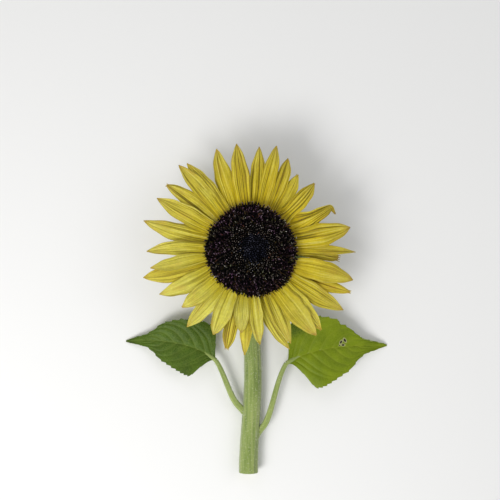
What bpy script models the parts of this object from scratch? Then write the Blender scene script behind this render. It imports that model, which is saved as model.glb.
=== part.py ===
"""Cut sunflower lying on the ground with its bloom facing up.

Units are metres, +Z is up.  Every solid is modelled about the axis of the bloom, which
is the Z axis of the empty that they are parented to.  The stem runs from it along -Y,
and bearings are counted clockwise from +Y.  The last step places the empty so that the
box around the whole flower stands on the origin.
"""
import math

import bmesh
import bpy
from mathutils import Vector
from mathutils.geometry import delaunay_2d_cdt

MM = 0.001

# --- stem and neck ------------------------------------------------------------------
STEM_CUT_RADIUS = 8.6 * MM
STEM_TOP_RADIUS = 7.2 * MM
STEM_CUT_Y = -196.0 * MM
STEM_BOW = 4.0 * MM
STEM_SIDES = 14
STEM_STATIONS = 11
NECK_BEND_RADIUS = 22.0 * MM
NECK_TOP_RADIUS = 9.6 * MM
NECK_FLARE_POWER = 2.5
NECK_STATIONS = 8
GAP = 0.3 * MM

# --- head ---------------------------------------------------------------------------
HEAD_BACK_Z = STEM_TOP_RADIUS + NECK_BEND_RADIUS + GAP
RECEPTACLE_RADIUS = 38.5 * MM
RECEPTACLE_RISE = 13.0 * MM
RECEPTACLE_POWER = 2.6
RECEPTACLE_TOP_Z = HEAD_BACK_Z + 14.0 * MM
RECEPTACLE_SIDES = 48
RECEPTACLE_STEPS = [0.18, 0.36, 0.54, 0.70, 0.86, 1.0]
DISC_RADIUS = 41.2 * MM
DISC_CORE_RADIUS = 37.3 * MM
DISC_BOTTOM_Z = RECEPTACLE_TOP_Z + GAP
DISC_LIP_Z = RECEPTACLE_TOP_Z + 6.0 * MM
DISC_RIM_Z = RECEPTACLE_TOP_Z + 7.6 * MM
DISC_RING_RISE = 9.6 * MM
DISC_SWELL_SHARE = 0.42
DISC_RING_RADIUS = 24.0 * MM
DISC_DIMPLE_DEPTH = 3.6 * MM
DISC_DIMPLE_X = 1.2 * MM
DISC_DIMPLE_Y = 1.6 * MM
DISC_FLORETS = 340
DISC_FLORET_DEPTH = 1.3 * MM
DISC_FLORET_MARGIN = 1.9 * MM
DISC_SMOOTH_MARGIN = 3.4 * MM
DISC_TEETH = 60
DISC_TOOTH = 1.0 * MM
GOLDEN_ANGLE = math.pi * (3.0 - math.sqrt(5.0))

# --- ray florets --------------------------------------------------------------------
RAY_ROOT_RADIUS = 38.1 * MM
RAY_BASE_Z = RECEPTACLE_TOP_Z + GAP
RAY_THICKNESS = 0.75 * MM
RAY_LEVEL_ROOT = 1.55 * MM
RAY_LEVEL_OUTER = 2.9 * MM
RAY_SPREAD_FROM = 42.0 * MM
RAY_SPREAD_TO = 62.0 * MM
RAY_CREST = 2.2 * MM
RAY_CREST_RADIUS = 66.0 * MM
RAY_CAMBER = 0.75 * MM
RAY_CAMBER_HALF_WIDTH = 5.0 * MM
RAY_STATIONS = 10
RAY_CLAW = 1.9 * MM
RAY_SWELL = 0.42
RAY_END = 0.9
RAY_TIP = 0.35 * MM
RAY_TIP_CROWDING = 0.35
RAY_ACROSS = [-1.0, -0.55, 0.0, 0.55, 1.0]

# tip bearing, tip reach, middle bearing, root bearing, width, level, bluntness, tip droop
# (bearings in degrees, lengths in millimetres, level 0 behind to 2 in front)
RAYS = [
    (352.2, 92.0, 351.7, 351.5, 15.5, 2, 2.0, 1.5),
    (4.7, 89.5, 5.2, 5.0, 13.5, 1, 2.0, 1.0),
    (13.9, 92.5, 14.2, 14.6, 13.0, 2, 2.4, 2.0),
    (21.7, 84.5, 24.6, 25.2, 12.5, 1, 2.8, 2.5),
    (31.7, 75.0, 33.6, 34.0, 12.0, 0, 2.2, 3.0),
    (43.3, 78.0, 44.3, 43.8, 13.0, 2, 3.2, 4.0),
    (62.2, 81.0, 62.2, 60.5, 15.0, 1, 2.2, 6.0),
    (77.2, 87.0, 78.0, 76.5, 19.5, 2, 2.0, 3.0),
    (91.1, 89.0, 90.2, 89.0, 10.0, 1, 1.5, 3.0),
    (95.5, 75.0, 95.0, 93.5, 9.0, 0, 4.0, 3.5),
    (106.7, 91.5, 107.0, 108.5, 18.5, 2, 2.0, 1.0),
    (113.3, 92.0, 117.0, 120.5, 11.0, 0, 2.2, 1.5),
    (123.1, 95.0, 125.0, 126.0, 17.0, 1, 2.0, 0.5),
    (138.9, 92.0, 138.0, 137.0, 14.0, 0, 2.6, 1.0),
    (142.8, 92.5, 143.8, 144.5, 18.0, 2, 2.2, 0.5),
    (157.2, 87.0, 157.8, 158.0, 13.0, 1, 1.8, 1.5),
    (158.6, 92.0, 163.5, 167.0, 12.5, 0, 2.0, 1.0),
    (174.7, 83.0, 175.7, 176.0, 12.0, 2, 2.2, 3.0),
    (183.3, 90.5, 183.3, 184.0, 11.0, 0, 2.8, 1.0),
    (186.4, 72.0, 188.0, 189.8, 14.5, 1, 2.0, 0.8),
    (193.5, 89.0, 194.6, 196.0, 12.5, 0, 4.0, 1.0),
    (203.9, 81.0, 204.6, 205.0, 16.5, 2, 2.8, 4.0),
    (219.4, 86.0, 218.3, 216.5, 14.5, 1, 2.2, 2.0),
    (230.0, 78.0, 229.0, 228.5, 16.0, 2, 2.6, 4.5),
    (243.9, 88.0, 242.2, 243.0, 16.0, 1, 2.0, 2.0),
    (255.3, 95.5, 254.3, 253.5, 14.5, 0, 2.6, 0.5),
    (260.3, 89.5, 259.8, 263.0, 11.5, 1, 2.2, 1.5),
    (268.6, 89.0, 270.8, 271.0, 12.5, 2, 2.0, 2.0),
    (285.0, 96.0, 283.0, 284.0, 17.0, 1, 2.0, 0.5),
    (298.3, 92.5, 298.0, 298.3, 18.0, 2, 1.9, 1.5),
    (307.2, 92.5, 309.5, 310.0, 14.5, 1, 2.6, 1.0),
    (319.2, 95.0, 319.9, 320.0, 14.0, 2, 2.2, 0.5),
    (323.2, 92.0, 324.7, 326.5, 13.0, 0, 2.4, 1.0),
    (341.1, 92.0, 338.4, 336.5, 17.0, 1, 2.2, 1.0),
]

# --- bracts under the head ------------------------------------------------------------
BRACT_THICKNESS = 0.9 * MM
BRACT_RIM_RADIUS = 37.5 * MM
BRACT_CEILING_Z = RAY_BASE_Z - 2.6 * MM
INNER_BRACTS = 8
INNER_BRACT_WIDTH = 19.0 * MM
INNER_BRACT_START = 19.0 * MM
INNER_BRACT_REACH = 57.0 * MM
INNER_BRACT_OFFSET = 0.35 * MM
INNER_BRACT_TIP_Z = RAY_BASE_Z - 2.2 * MM
INNER_BRACT_BEARING = 22.5
OUTER_BRACT_WIDTH = 15.5 * MM
OUTER_BRACT_START = 13.0 * MM
OUTER_BRACT_OFFSET = 1.65 * MM
OUTER_BRACT_BEARING = 10.0
BRACT_TIP = 0.6 * MM
BRACT_FOOT_SHARE = 0.34
BRACT_WIDENING = 1.9
BRACT_TAPER_FROM = 0.3
BRACT_TAPER_POWER = 0.85
BRACT_LEAN = 0.38
BRACT_SPREAD = 0.16
BRACT_HUGGING = 5
BRACT_FREE = 6
# reach and height of the tip of each outer bract in millimetres, clockwise from the first
OUTER_BRACT_TIPS = [
    (60.0, 0.35), (63.0, 16.0), (61.0, 0.35), (64.0, 13.0), (60.0, 19.0), (66.0, 25.0),
    (78.0, 27.0), (62.0, 20.0), (63.0, 12.0), (61.0, 0.35), (64.0, 17.0), (60.0, 0.35),
]

# --- leaves ---------------------------------------------------------------------------
LEAF_THICKNESS = 1.25 * MM
LEAF_STATIONS = 15
LEAF_ACROSS = [-1.0, -0.5, 0.0, 0.5, 1.0]
LEAF_TIP = 0.9 * MM
LEAF_WIDEST_POWER = 0.55
LEAF_FULLNESS = 0.8
LEAF_TROUGH_END = 0.9
CURVE_STEP = 0.02
LEAF_RIGHT_WIDTH = 62.0 * MM
LEAF_RIGHT_TROUGH = 4.0 * MM
LEAF_LEFT_WIDTH = 50.0 * MM
LEAF_LEFT_TROUGH = 3.0 * MM
PETIOLE_STEM_RADIUS = 2.9 * MM
PETIOLE_BLADE_RADIUS = 2.0 * MM
PETIOLE_SIDES = 8
PETIOLE_STATIONS = 9
# control points of the petiole and midrib curves, in millimetres
RIGHT_PETIOLE = [(12.7, -156.0, 9.0), (21.0, -147.0, 11.0), (25.0, -116.0, 12.5), (39.0, -96.5, 12.6)]
RIGHT_MIDRIB = [(33.0, -100.0, 12.4), (55.0, -85.0, 15.5), (84.0, -84.0, 17.5), (127.0, -84.0, 1.25)]
LEFT_PETIOLE = [(-8.2, -138.0, 8.5), (-17.0, -130.0, 10.0), (-21.0, -109.0, 11.0), (-33.5, -93.5, 11.0)]
LEFT_MIDRIB = [(-28.5, -97.5, 10.9), (-46.0, -82.0, 13.5), (-74.0, -77.0, 14.5), (-110.0, -80.0, 1.25)]


def clear_scene():
    for item in list(bpy.data.objects):
        bpy.data.objects.remove(item, do_unlink=True)


def make_material(name, red, green, blue, roughness):
    material = bpy.data.materials.new(name)
    material.use_nodes = True
    shader = material.node_tree.nodes["Principled BSDF"]
    shader.inputs["Base Color"].default_value = (red, green, blue, 1.0)
    shader.inputs["Roughness"].default_value = roughness
    return material


def add_solid(name, mesh, material, flower):
    mesh.materials.append(material)
    solid = bpy.data.objects.new(name, mesh)
    solid.parent = flower
    bpy.context.scene.collection.objects.link(solid)
    return solid


def make_mesh(name, points, faces):
    """A mesh from corner points and faces; a closed one has its faces turned outward."""
    mesh = bpy.data.meshes.new(name)
    mesh.from_pydata([tuple(point) for point in points], [], faces)
    work = bmesh.new()
    work.from_mesh(mesh)
    bmesh.ops.triangulate(work, faces=work.faces[:])
    if all(edge.is_manifold for edge in work.edges):
        bmesh.ops.recalc_face_normals(work, faces=work.faces[:])
    work.to_mesh(mesh)
    work.free()
    return mesh


def make_sheet(name, rows):
    """A mesh of one layer from rows of points, each row laid from left to right."""
    across = len(rows[0])
    faces = []
    for i in range(len(rows) - 1):
        for j in range(across - 1):
            a = i * across + j
            faces.append((a, a + 1, a + across + 1, a + across))
    return make_mesh(name, [point for row in rows for point in row], faces)


def thicken(solid, thickness):
    """Gives a sheet its thickness, downward from the layer that was drawn."""
    layer = solid.modifiers.new("thickness", "SOLIDIFY")
    layer.thickness = thickness
    layer.offset = -1.0
    return solid


def on_bearing(degrees, radius):
    angle = math.radians(degrees)
    return Vector((math.sin(angle) * radius, math.cos(angle) * radius, 0.0))


def smooth(value):
    value = min(1.0, max(0.0, value))
    return value * value * (3.0 - 2.0 * value)


def tube_points(centres, sideways, upward, radii, sides):
    points = []
    for centre, side, up, radius in zip(centres, sideways, upward, radii):
        for k in range(sides):
            angle = 2.0 * math.pi * k / sides
            points.append(centre - up * (math.cos(angle) * radius) + side * (math.sin(angle) * radius))
    return points


def tube_faces(stations, sides):
    faces = []
    for i in range(stations - 1):
        for k in range(sides):
            a = i * sides + k
            b = i * sides + (k + 1) % sides
            faces.append((a, b, b + sides, a + sides))
    faces.append(tuple(range(sides)))
    faces.append(tuple((stations - 1) * sides + k for k in range(sides)))
    return faces


# --- stem and neck ------------------------------------------------------------------

def stem_centre(along):
    """Middle of the stem, from 0 at the neck to 1 at the cut, resting on the ground."""
    radius = STEM_TOP_RADIUS + (STEM_CUT_RADIUS - STEM_TOP_RADIUS) * along
    top_y = -NECK_BEND_RADIUS - GAP
    bow = STEM_BOW * 0.5 * (1.0 - math.cos(2.0 * math.pi * along))
    return Vector((bow, top_y + (STEM_CUT_Y - top_y) * along, radius))


def make_stem(material, flower):
    steps = [i / (STEM_STATIONS - 1) for i in range(STEM_STATIONS)]
    centres = [stem_centre(step) for step in steps]
    radii = [centre.z for centre in centres]
    sideways = [Vector((1.0, 0.0, 0.0))] * STEM_STATIONS
    upward = [Vector((0.0, 0.0, 1.0))] * STEM_STATIONS
    points = tube_points(centres, sideways, upward, radii, STEM_SIDES)
    mesh = make_mesh("stem", points, tube_faces(STEM_STATIONS, STEM_SIDES))
    return add_solid("stem", mesh, material, flower)


def make_neck(material, flower):
    centres = []
    upward = []
    radii = []
    for i in range(NECK_STATIONS):
        along = i / (NECK_STATIONS - 1)
        angle = 0.5 * math.pi * along
        back = NECK_BEND_RADIUS * (1.0 - math.sin(angle))
        rise = NECK_BEND_RADIUS * (1.0 - math.cos(angle))
        centres.append(Vector((0.0, -back, STEM_TOP_RADIUS + rise)))
        upward.append(Vector((0.0, -math.sin(angle), math.cos(angle))))
        radii.append(STEM_TOP_RADIUS + (NECK_TOP_RADIUS - STEM_TOP_RADIUS) * along ** NECK_FLARE_POWER)
    sideways = [Vector((1.0, 0.0, 0.0))] * NECK_STATIONS
    points = tube_points(centres, sideways, upward, radii, STEM_SIDES)
    mesh = make_mesh("neck", points, tube_faces(NECK_STATIONS, STEM_SIDES))
    return add_solid("neck", mesh, material, flower)


# --- receptacle and disc ---------------------------------------------------------------

def receptacle_under(radius):
    """Height of the underside of the receptacle at a distance from the axis."""
    return HEAD_BACK_Z + RECEPTACLE_RISE * (radius / RECEPTACLE_RADIUS) ** RECEPTACLE_POWER


def make_receptacle(material, flower):
    """A shallow bowl, turned from its profile about the axis of the bloom."""
    bowl = bmesh.new()
    profile = [bowl.verts.new((0.0, 0.0, HEAD_BACK_Z))]
    for step in RECEPTACLE_STEPS:
        radius = step * RECEPTACLE_RADIUS
        profile.append(bowl.verts.new((radius, 0.0, receptacle_under(radius))))
    profile.append(bowl.verts.new((RECEPTACLE_RADIUS, 0.0, RECEPTACLE_TOP_Z)))
    profile.append(bowl.verts.new((0.0, 0.0, RECEPTACLE_TOP_Z)))
    lines = [bowl.edges.new((profile[i], profile[i + 1])) for i in range(len(profile) - 1)]
    bmesh.ops.spin(bowl, geom=profile + lines, cent=(0.0, 0.0, 0.0), axis=(0.0, 0.0, 1.0),
                   dvec=(0.0, 0.0, 0.0), angle=2.0 * math.pi, steps=RECEPTACLE_SIDES)
    bmesh.ops.remove_doubles(bowl, verts=bowl.verts[:], dist=0.01 * MM)
    bmesh.ops.triangulate(bowl, faces=bowl.faces[:])
    bmesh.ops.recalc_face_normals(bowl, faces=bowl.faces[:])
    mesh = bpy.data.meshes.new("receptacle")
    bowl.to_mesh(mesh)
    bowl.free()
    return add_solid("receptacle", mesh, material, flower)


def disc_height(x, y):
    """Height of the crown of the disc: it swells to a ring and dips in the middle."""
    radius = math.hypot(x, y)
    inward = 1.0 - min(1.0, radius / DISC_RADIUS)
    swell = DISC_RING_RISE * (1.0 - (1.0 - min(1.0, inward / DISC_SWELL_SHARE)) ** 2)
    dimple = math.hypot(x - DISC_DIMPLE_X, y - DISC_DIMPLE_Y) / DISC_RING_RADIUS
    return DISC_RIM_Z + swell - DISC_DIMPLE_DEPTH * (1.0 - smooth(dimple))


def disc_points():
    """Florets in their spiral and the toothed edge of the disc, seen from above."""
    flat = []
    spacing = (DISC_RADIUS - DISC_FLORET_MARGIN) / math.sqrt(DISC_FLORETS)
    for k in range(DISC_FLORETS):
        radius = spacing * math.sqrt(k + 0.5)
        angle = k * GOLDEN_ANGLE
        flat.append(Vector((math.cos(angle) * radius, math.sin(angle) * radius)))
    for k in range(2 * DISC_TEETH):
        radius = DISC_RADIUS - DISC_TOOTH * (k % 2)
        edge = on_bearing(180.0 * k / DISC_TEETH, radius)
        flat.append(Vector((edge.x, edge.y)))
    return flat


def make_disc(material, flower):
    flat = disc_points()
    edge = list(range(DISC_FLORETS, len(flat)))
    ring = [(edge[k], edge[(k + 1) % len(edge)]) for k in range(len(edge))]
    flat, lines, cells = delaunay_2d_cdt(flat, ring, [], 1, 1e-7)[:3]
    points = [Vector((p.x, p.y, disc_height(p.x, p.y))) for p in flat]
    faces = []
    for cell in cells:
        middle = (points[cell[0]] + points[cell[1]] + points[cell[2]]) / 3.0
        if math.hypot(middle.x, middle.y) < DISC_RADIUS - DISC_SMOOTH_MARGIN:
            points.append(middle - Vector((0.0, 0.0, DISC_FLORET_DEPTH)))
            low = len(points) - 1
            faces.extend([(cell[0], cell[1], low), (cell[1], cell[2], low), (cell[2], cell[0], low)])
        else:
            faces.append(tuple(cell))
    count = len(edge)
    first = len(points)
    for radius, height in ((DISC_RADIUS - DISC_TOOTH, DISC_LIP_Z), (DISC_CORE_RADIUS, DISC_LIP_Z),
                           (DISC_CORE_RADIUS, DISC_BOTTOM_Z)):
        for k in range(count):
            points.append(on_bearing(360.0 * k / count, radius) + Vector((0.0, 0.0, height)))
    for k in range(count):
        n = (k + 1) % count
        faces.append((edge[k], edge[n], first + n, first + k))
        faces.append((first + k, first + n, first + count + n, first + count + k))
        faces.append((first + count + k, first + count + n, first + 2 * count + n, first + 2 * count + k))
    faces.append(tuple(first + 2 * count + k for k in range(count)))
    return add_solid("disc", make_mesh("disc", points, faces), material, flower)


# --- ray florets --------------------------------------------------------------------

def ray_width(along, bluntness):
    """Half width of a ray floret from its claw to its tip, before it is scaled to 1."""
    return along ** RAY_SWELL * max(0.0, 1.0 - along ** bluntness) ** RAY_END


def ray_height(radius, level, reach, droop):
    """Height of the face of a ray floret: the levels part as they leave the disc."""
    part = smooth((radius - RAY_SPREAD_FROM) / (RAY_SPREAD_TO - RAY_SPREAD_FROM))
    step = RAY_LEVEL_ROOT + (RAY_LEVEL_OUTER - RAY_LEVEL_ROOT) * part
    crest = RAY_CREST * smooth((radius - RAY_ROOT_RADIUS) / (RAY_CREST_RADIUS - RAY_ROOT_RADIUS))
    bend = max(0.0, (radius - RAY_CREST_RADIUS) / (reach - RAY_CREST_RADIUS))
    return RAY_BASE_Z + RAY_THICKNESS + level * step + crest - droop * bend * bend


def make_ray(name, row, material, flower):
    """A ray floret, drawn with its root on bearing 0 and then turned to its place."""
    tip_bearing, reach, middle_bearing, root_bearing, width, level, bluntness, droop = row
    reach = reach * MM
    root = on_bearing(0.0, RAY_ROOT_RADIUS)
    tip = on_bearing(tip_bearing - root_bearing, reach)
    middle = on_bearing(middle_bearing - root_bearing, 0.5 * (RAY_ROOT_RADIUS + reach))
    bend = middle * 2.0 - (root + tip) * 0.5
    widest = max(ray_width(k / 100.0, bluntness) for k in range(101))
    rows = []
    for i in range(RAY_STATIONS):
        step = i / (RAY_STATIONS - 1)
        along = step + RAY_TIP_CROWDING * step * (1.0 - step)
        centre = root * (1.0 - along) ** 2 + bend * (2.0 * along * (1.0 - along)) + tip * along ** 2
        heading = ((bend - root) * (1.0 - along) + (tip - bend) * along).normalized()
        side = Vector((heading.y, -heading.x, 0.0))
        half = 0.5 * width * MM * ray_width(along, bluntness) / widest
        half = max(half, RAY_CLAW * (1.0 - along), RAY_TIP)
        centre.z = ray_height(centre.length, level, reach, droop * MM)
        cup = RAY_CAMBER * (level - 1) * min(1.0, half / RAY_CAMBER_HALF_WIDTH)
        rows.append([centre + side * (half * part) + Vector((0.0, 0.0, cup * part * part))
                     for part in RAY_ACROSS])
    ray = thicken(add_solid(name, make_sheet(name, rows), material, flower), RAY_THICKNESS)
    ray.rotation_euler.z = -math.radians(root_bearing)
    return ray


# --- bracts -------------------------------------------------------------------------

def bowl_point(radius, offset):
    """Point in the (radius, height) plane that lies off the underside of the receptacle."""
    slope = RECEPTACLE_RISE * RECEPTACLE_POWER / RECEPTACLE_RADIUS
    slope = slope * (radius / RECEPTACLE_RADIUS) ** (RECEPTACLE_POWER - 1.0)
    length = math.hypot(1.0, slope)
    return Vector((radius + offset * slope / length, receptacle_under(radius) - offset / length))


def bract_path(start, offset, tip):
    """Line of a bract in the (radius, height) plane: along the bowl, then out to its tip."""
    path = []
    for i in range(BRACT_HUGGING):
        radius = start + (BRACT_RIM_RADIUS - start) * i / (BRACT_HUGGING - 1)
        path.append(bowl_point(radius, offset))
    rim = path[-1]
    lean = (path[-1] - path[-2]).normalized()
    reach = (tip - rim).length
    room = BRACT_CEILING_Z - rim.y
    bend = rim + lean * min(BRACT_LEAN * reach, room) + Vector((BRACT_SPREAD * reach, 0.0))
    for i in range(1, BRACT_FREE + 1):
        along = i / BRACT_FREE
        path.append(rim * (1.0 - along) ** 2 + bend * (2.0 * along * (1.0 - along)) + tip * along ** 2)
    return path


def bract_mesh(name, path, width):
    """A pointed bract on bearing 0, bent to the round of the head along its path."""
    length = [0.0]
    for i in range(1, len(path)):
        length.append(length[-1] + (path[i] - path[i - 1]).length)
    rows = []
    for i in range(len(path)):
        along = length[i] / length[-1]
        swell = min(1.0, BRACT_FOOT_SHARE + BRACT_WIDENING * along)
        taper = 1.0 - max(0.0, along - BRACT_TAPER_FROM) / (1.0 - BRACT_TAPER_FROM)
        half = max(0.5 * width * swell * taper ** BRACT_TAPER_POWER, BRACT_TIP)
        turns = [math.degrees(half * part / path[i].x) for part in (-1.0, 0.0, 1.0)]
        rows.append([on_bearing(turn, path[i].x) + Vector((0.0, 0.0, path[i].y)) for turn in turns])
    return make_sheet(name, rows)


def make_bract(name, bearing, mesh, flower):
    bract = bpy.data.objects.new(name, mesh)
    bract.parent = flower
    bract.rotation_euler.z = -math.radians(bearing)
    bpy.context.scene.collection.objects.link(bract)
    return thicken(bract, BRACT_THICKNESS)


def make_bracts(material, flower):
    """Eight short bracts against the bowl, and a row of long ones bent back outside them."""
    tip = Vector((INNER_BRACT_REACH, INNER_BRACT_TIP_Z))
    path = bract_path(INNER_BRACT_START, INNER_BRACT_OFFSET, tip)
    inner = bract_mesh("bract_inner", path, INNER_BRACT_WIDTH)
    inner.materials.append(material)
    for k in range(INNER_BRACTS):
        bearing = INNER_BRACT_BEARING + 360.0 * k / INNER_BRACTS
        make_bract("bract_inner_%d" % (k + 1), bearing, inner, flower)
    for k, (reach, height) in enumerate(OUTER_BRACT_TIPS):
        name = "bract_outer_%02d" % (k + 1)
        path = bract_path(OUTER_BRACT_START, OUTER_BRACT_OFFSET, Vector((reach * MM, height * MM)))
        outer = bract_mesh(name, path, OUTER_BRACT_WIDTH)
        outer.materials.append(material)
        bearing = OUTER_BRACT_BEARING + 360.0 * k / len(OUTER_BRACT_TIPS)
        make_bract(name, bearing, outer, flower)


# --- leaves ---------------------------------------------------------------------------

def curve_point(nodes, along):
    """Point on a cubic curve through its first and last control points."""
    a, b, c, d = nodes
    left = 1.0 - along
    return a * left ** 3 + b * (3.0 * left * left * along) + c * (3.0 * left * along ** 2) + d * along ** 3


def curve_heading(nodes, along):
    """Direction of the curve, from the points just behind and just ahead."""
    ahead = curve_point(nodes, min(1.0, along + CURVE_STEP))
    return (ahead - curve_point(nodes, max(0.0, along - CURVE_STEP))).normalized()


def leaf_half_width(along, width):
    """Half width of an ovate blade, widest at a quarter to a third of the way along."""
    swell = max(0.0, math.sin(math.pi * along ** LEAF_WIDEST_POWER))
    return 0.5 * width * swell ** LEAF_FULLNESS


def make_blade(name, nodes, width, lift, material, flower):
    """The blade of a leaf along its midrib, its two halves lifted to a shallow trough."""
    rows = []
    for i in range(LEAF_STATIONS):
        along = i / (LEAF_STATIONS - 1)
        centre = curve_point(nodes, along)
        heading = curve_heading(nodes, along)
        side = Vector((heading.y, -heading.x, 0.0)).normalized()
        half = max(leaf_half_width(along, width), LEAF_TIP)
        fold = lift * math.sin(math.pi * min(1.0, along / LEAF_TROUGH_END))
        rows.append([centre + side * (half * part) + Vector((0.0, 0.0, fold * abs(part)))
                     for part in LEAF_ACROSS])
    return thicken(add_solid(name, make_sheet(name, rows), material, flower), LEAF_THICKNESS)


def make_petiole(name, nodes, material, flower):
    centres = []
    sideways = []
    upward = []
    radii = []
    for i in range(PETIOLE_STATIONS):
        along = i / (PETIOLE_STATIONS - 1)
        heading = curve_heading(nodes, along)
        side = heading.cross(Vector((0.0, 0.0, 1.0))).normalized()
        centres.append(curve_point(nodes, along))
        sideways.append(side)
        upward.append(side.cross(heading))
        radii.append(PETIOLE_STEM_RADIUS + (PETIOLE_BLADE_RADIUS - PETIOLE_STEM_RADIUS) * along)
    points = tube_points(centres, sideways, upward, radii, PETIOLE_SIDES)
    mesh = make_mesh(name, points, tube_faces(PETIOLE_STATIONS, PETIOLE_SIDES))
    return add_solid(name, mesh, material, flower)


def join_solids(body, other):
    """Joins a second solid to the first, which keeps its name."""
    join = body.modifiers.new("join", "BOOLEAN")
    join.operation = "UNION"
    join.solver = "EXACT"
    join.object = other
    view = bpy.context.evaluated_depsgraph_get()
    result = bpy.data.meshes.new_from_object(body.evaluated_get(view))
    body.modifiers.clear()
    body.data = result
    bpy.data.objects.remove(other, do_unlink=True)


def make_leaf(name, petiole, midrib, width, lift, material, flower):
    blade = make_blade(name, [Vector(p) * MM for p in midrib], width, lift, material, flower)
    stalk = make_petiole(name + "_petiole", [Vector(p) * MM for p in petiole], material, flower)
    join_solids(blade, stalk)


def make_leaves(material, flower):
    make_leaf("leaf_right", RIGHT_PETIOLE, RIGHT_MIDRIB, LEAF_RIGHT_WIDTH, LEAF_RIGHT_TROUGH,
              material, flower)
    make_leaf("leaf_left", LEFT_PETIOLE, LEFT_MIDRIB, LEAF_LEFT_WIDTH, LEAF_LEFT_TROUGH,
              material, flower)


# --- whole flower -----------------------------------------------------------------------

def rest_on_origin(flower):
    """Moves the flower so that the box around it stands on the origin by its middle."""
    view = bpy.context.evaluated_depsgraph_get()
    corners = []
    for solid in flower.children:
        shown = solid.evaluated_get(view)
        corners.extend(shown.matrix_world @ vertex.co for vertex in shown.data.vertices)
    low = [min(corner[axis] for corner in corners) for axis in range(3)]
    high = [max(corner[axis] for corner in corners) for axis in range(3)]
    flower.location = (-(low[0] + high[0]) / 2.0, -(low[1] + high[1]) / 2.0, -low[2])


def main():
    clear_scene()
    flower = bpy.data.objects.new("cut_sunflower", None)
    bpy.context.scene.collection.objects.link(flower)
    ray_front = make_material("ray_petal", 0.560, 0.430, 0.055, 0.62)
    ray_back = make_material("ray_petal_deep", 0.420, 0.270, 0.020, 0.62)
    disc_dark = make_material("disc_florets", 0.012, 0.010, 0.011, 0.85)
    bract_green = make_material("bract_green", 0.130, 0.190, 0.040, 0.70)
    stem_green = make_material("stem_green", 0.180, 0.240, 0.060, 0.65)
    leaf_green = make_material("leaf_green", 0.120, 0.190, 0.020, 0.60)
    make_stem(stem_green, flower)
    make_neck(stem_green, flower)
    make_receptacle(bract_green, flower)
    make_disc(disc_dark, flower)
    for k, row in enumerate(RAYS):
        material = ray_back if row[5] == 0 else ray_front
        make_ray("ray_%02d" % (k + 1), row, material, flower)
    make_bracts(bract_green, flower)
    make_leaves(leaf_green, flower)
    rest_on_origin(flower)


main()
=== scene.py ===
# %% [markdown]
# # A cut sunflower, bloom up
#
# This lesson dresses the plain solids of a cut sunflower: a dark domed disc, 34 pale yellow ray
# florets in three levels, green bracts, a short bent stem and two leaves. The solids are loaded
# as a fixed frame, and every piece made here takes the place of one or more of them, so each
# size starts from a solid's box or repeats a rule that the solids were made by.

# %% Load the frame
import math
import random

import bmesh
import bpy
from mathutils import Matrix, Vector, noise


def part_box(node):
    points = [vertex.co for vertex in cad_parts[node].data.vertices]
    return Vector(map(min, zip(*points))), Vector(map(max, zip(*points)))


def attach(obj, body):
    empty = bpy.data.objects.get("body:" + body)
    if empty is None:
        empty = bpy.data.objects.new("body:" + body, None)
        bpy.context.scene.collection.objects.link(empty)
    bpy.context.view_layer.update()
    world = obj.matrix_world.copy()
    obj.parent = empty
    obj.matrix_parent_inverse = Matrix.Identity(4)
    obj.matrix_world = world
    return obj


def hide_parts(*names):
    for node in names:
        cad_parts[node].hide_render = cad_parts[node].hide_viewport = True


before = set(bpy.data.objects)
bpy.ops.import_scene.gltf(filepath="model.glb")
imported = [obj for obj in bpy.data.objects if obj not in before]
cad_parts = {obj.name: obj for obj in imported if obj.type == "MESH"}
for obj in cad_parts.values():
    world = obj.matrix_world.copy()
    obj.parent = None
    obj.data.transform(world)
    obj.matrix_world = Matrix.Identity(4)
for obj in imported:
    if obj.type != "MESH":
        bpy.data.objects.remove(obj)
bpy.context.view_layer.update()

MM = 0.001

# %% [markdown]
# ## Where things are
#
# A bloom is easiest to model about its own axis, and to move into place at the end. The bowl
# under the head is turned about that axis, so the middle of its box is the middle of the bloom.
# Bearings run clockwise from the top of the bloom, as on a compass.

# %% The head's own frame
low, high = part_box("receptacle")
HEAD = Vector(((low.x + high.x) / 2.0, (low.y + high.y) / 2.0, 0.0))
BOWL_RADIUS = (high.x - low.x) / 2.0
BOWL_BACK_Z = low.z
BOWL_TOP_Z = high.z
disc_low, disc_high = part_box("disc")
DISC_RADIUS = (disc_high.y - disc_low.y) / 2.0
GAP = 0.3 * MM
UP = Vector((0.0, 0.0, 1.0))


def on_bearing(degrees, radius):
    """The point at a distance from the bloom's axis, on a bearing."""
    angle = math.radians(degrees)
    return Vector((math.sin(angle) * radius, math.cos(angle) * radius, 0.0))


def smooth(value):
    """An even S-curve from 0 to 1."""
    value = min(1.0, max(0.0, value))
    return value * value * (3.0 - 2.0 * value)


def arc(start, bend, end, along):
    """A point on the curve from start to end that is drawn toward bend."""
    return start * (1.0 - along) ** 2 + bend * (2.0 * along * (1.0 - along)) + end * along ** 2


print("head at", [round(v / MM, 1) for v in HEAD], "bowl radius", round(BOWL_RADIUS / MM, 1))

# %% [markdown]
# ## Node and mesh helpers
#
# Colours are picked as sRGB hex codes, the way a colour picker shows them, but shaders work in
# linear light, so one function converts them. One more adds any node, for materials and for
# Geometry Nodes alike, with its settings, its socket values and its links, and three short
# ones call it for the sums and colour mixes that come up most.

# %% Colours and nodes
def colour(code):
    """An sRGB hex code as linear light, by the curve that defines sRGB, and fully opaque."""
    parts = [int(code[k:k + 2], 16) / 255.0 for k in (1, 3, 5)]
    return [c / 12.92 if c <= 0.04045 else ((c + 0.055) / 1.055) ** 2.4 for c in parts] + [1.0]


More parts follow.
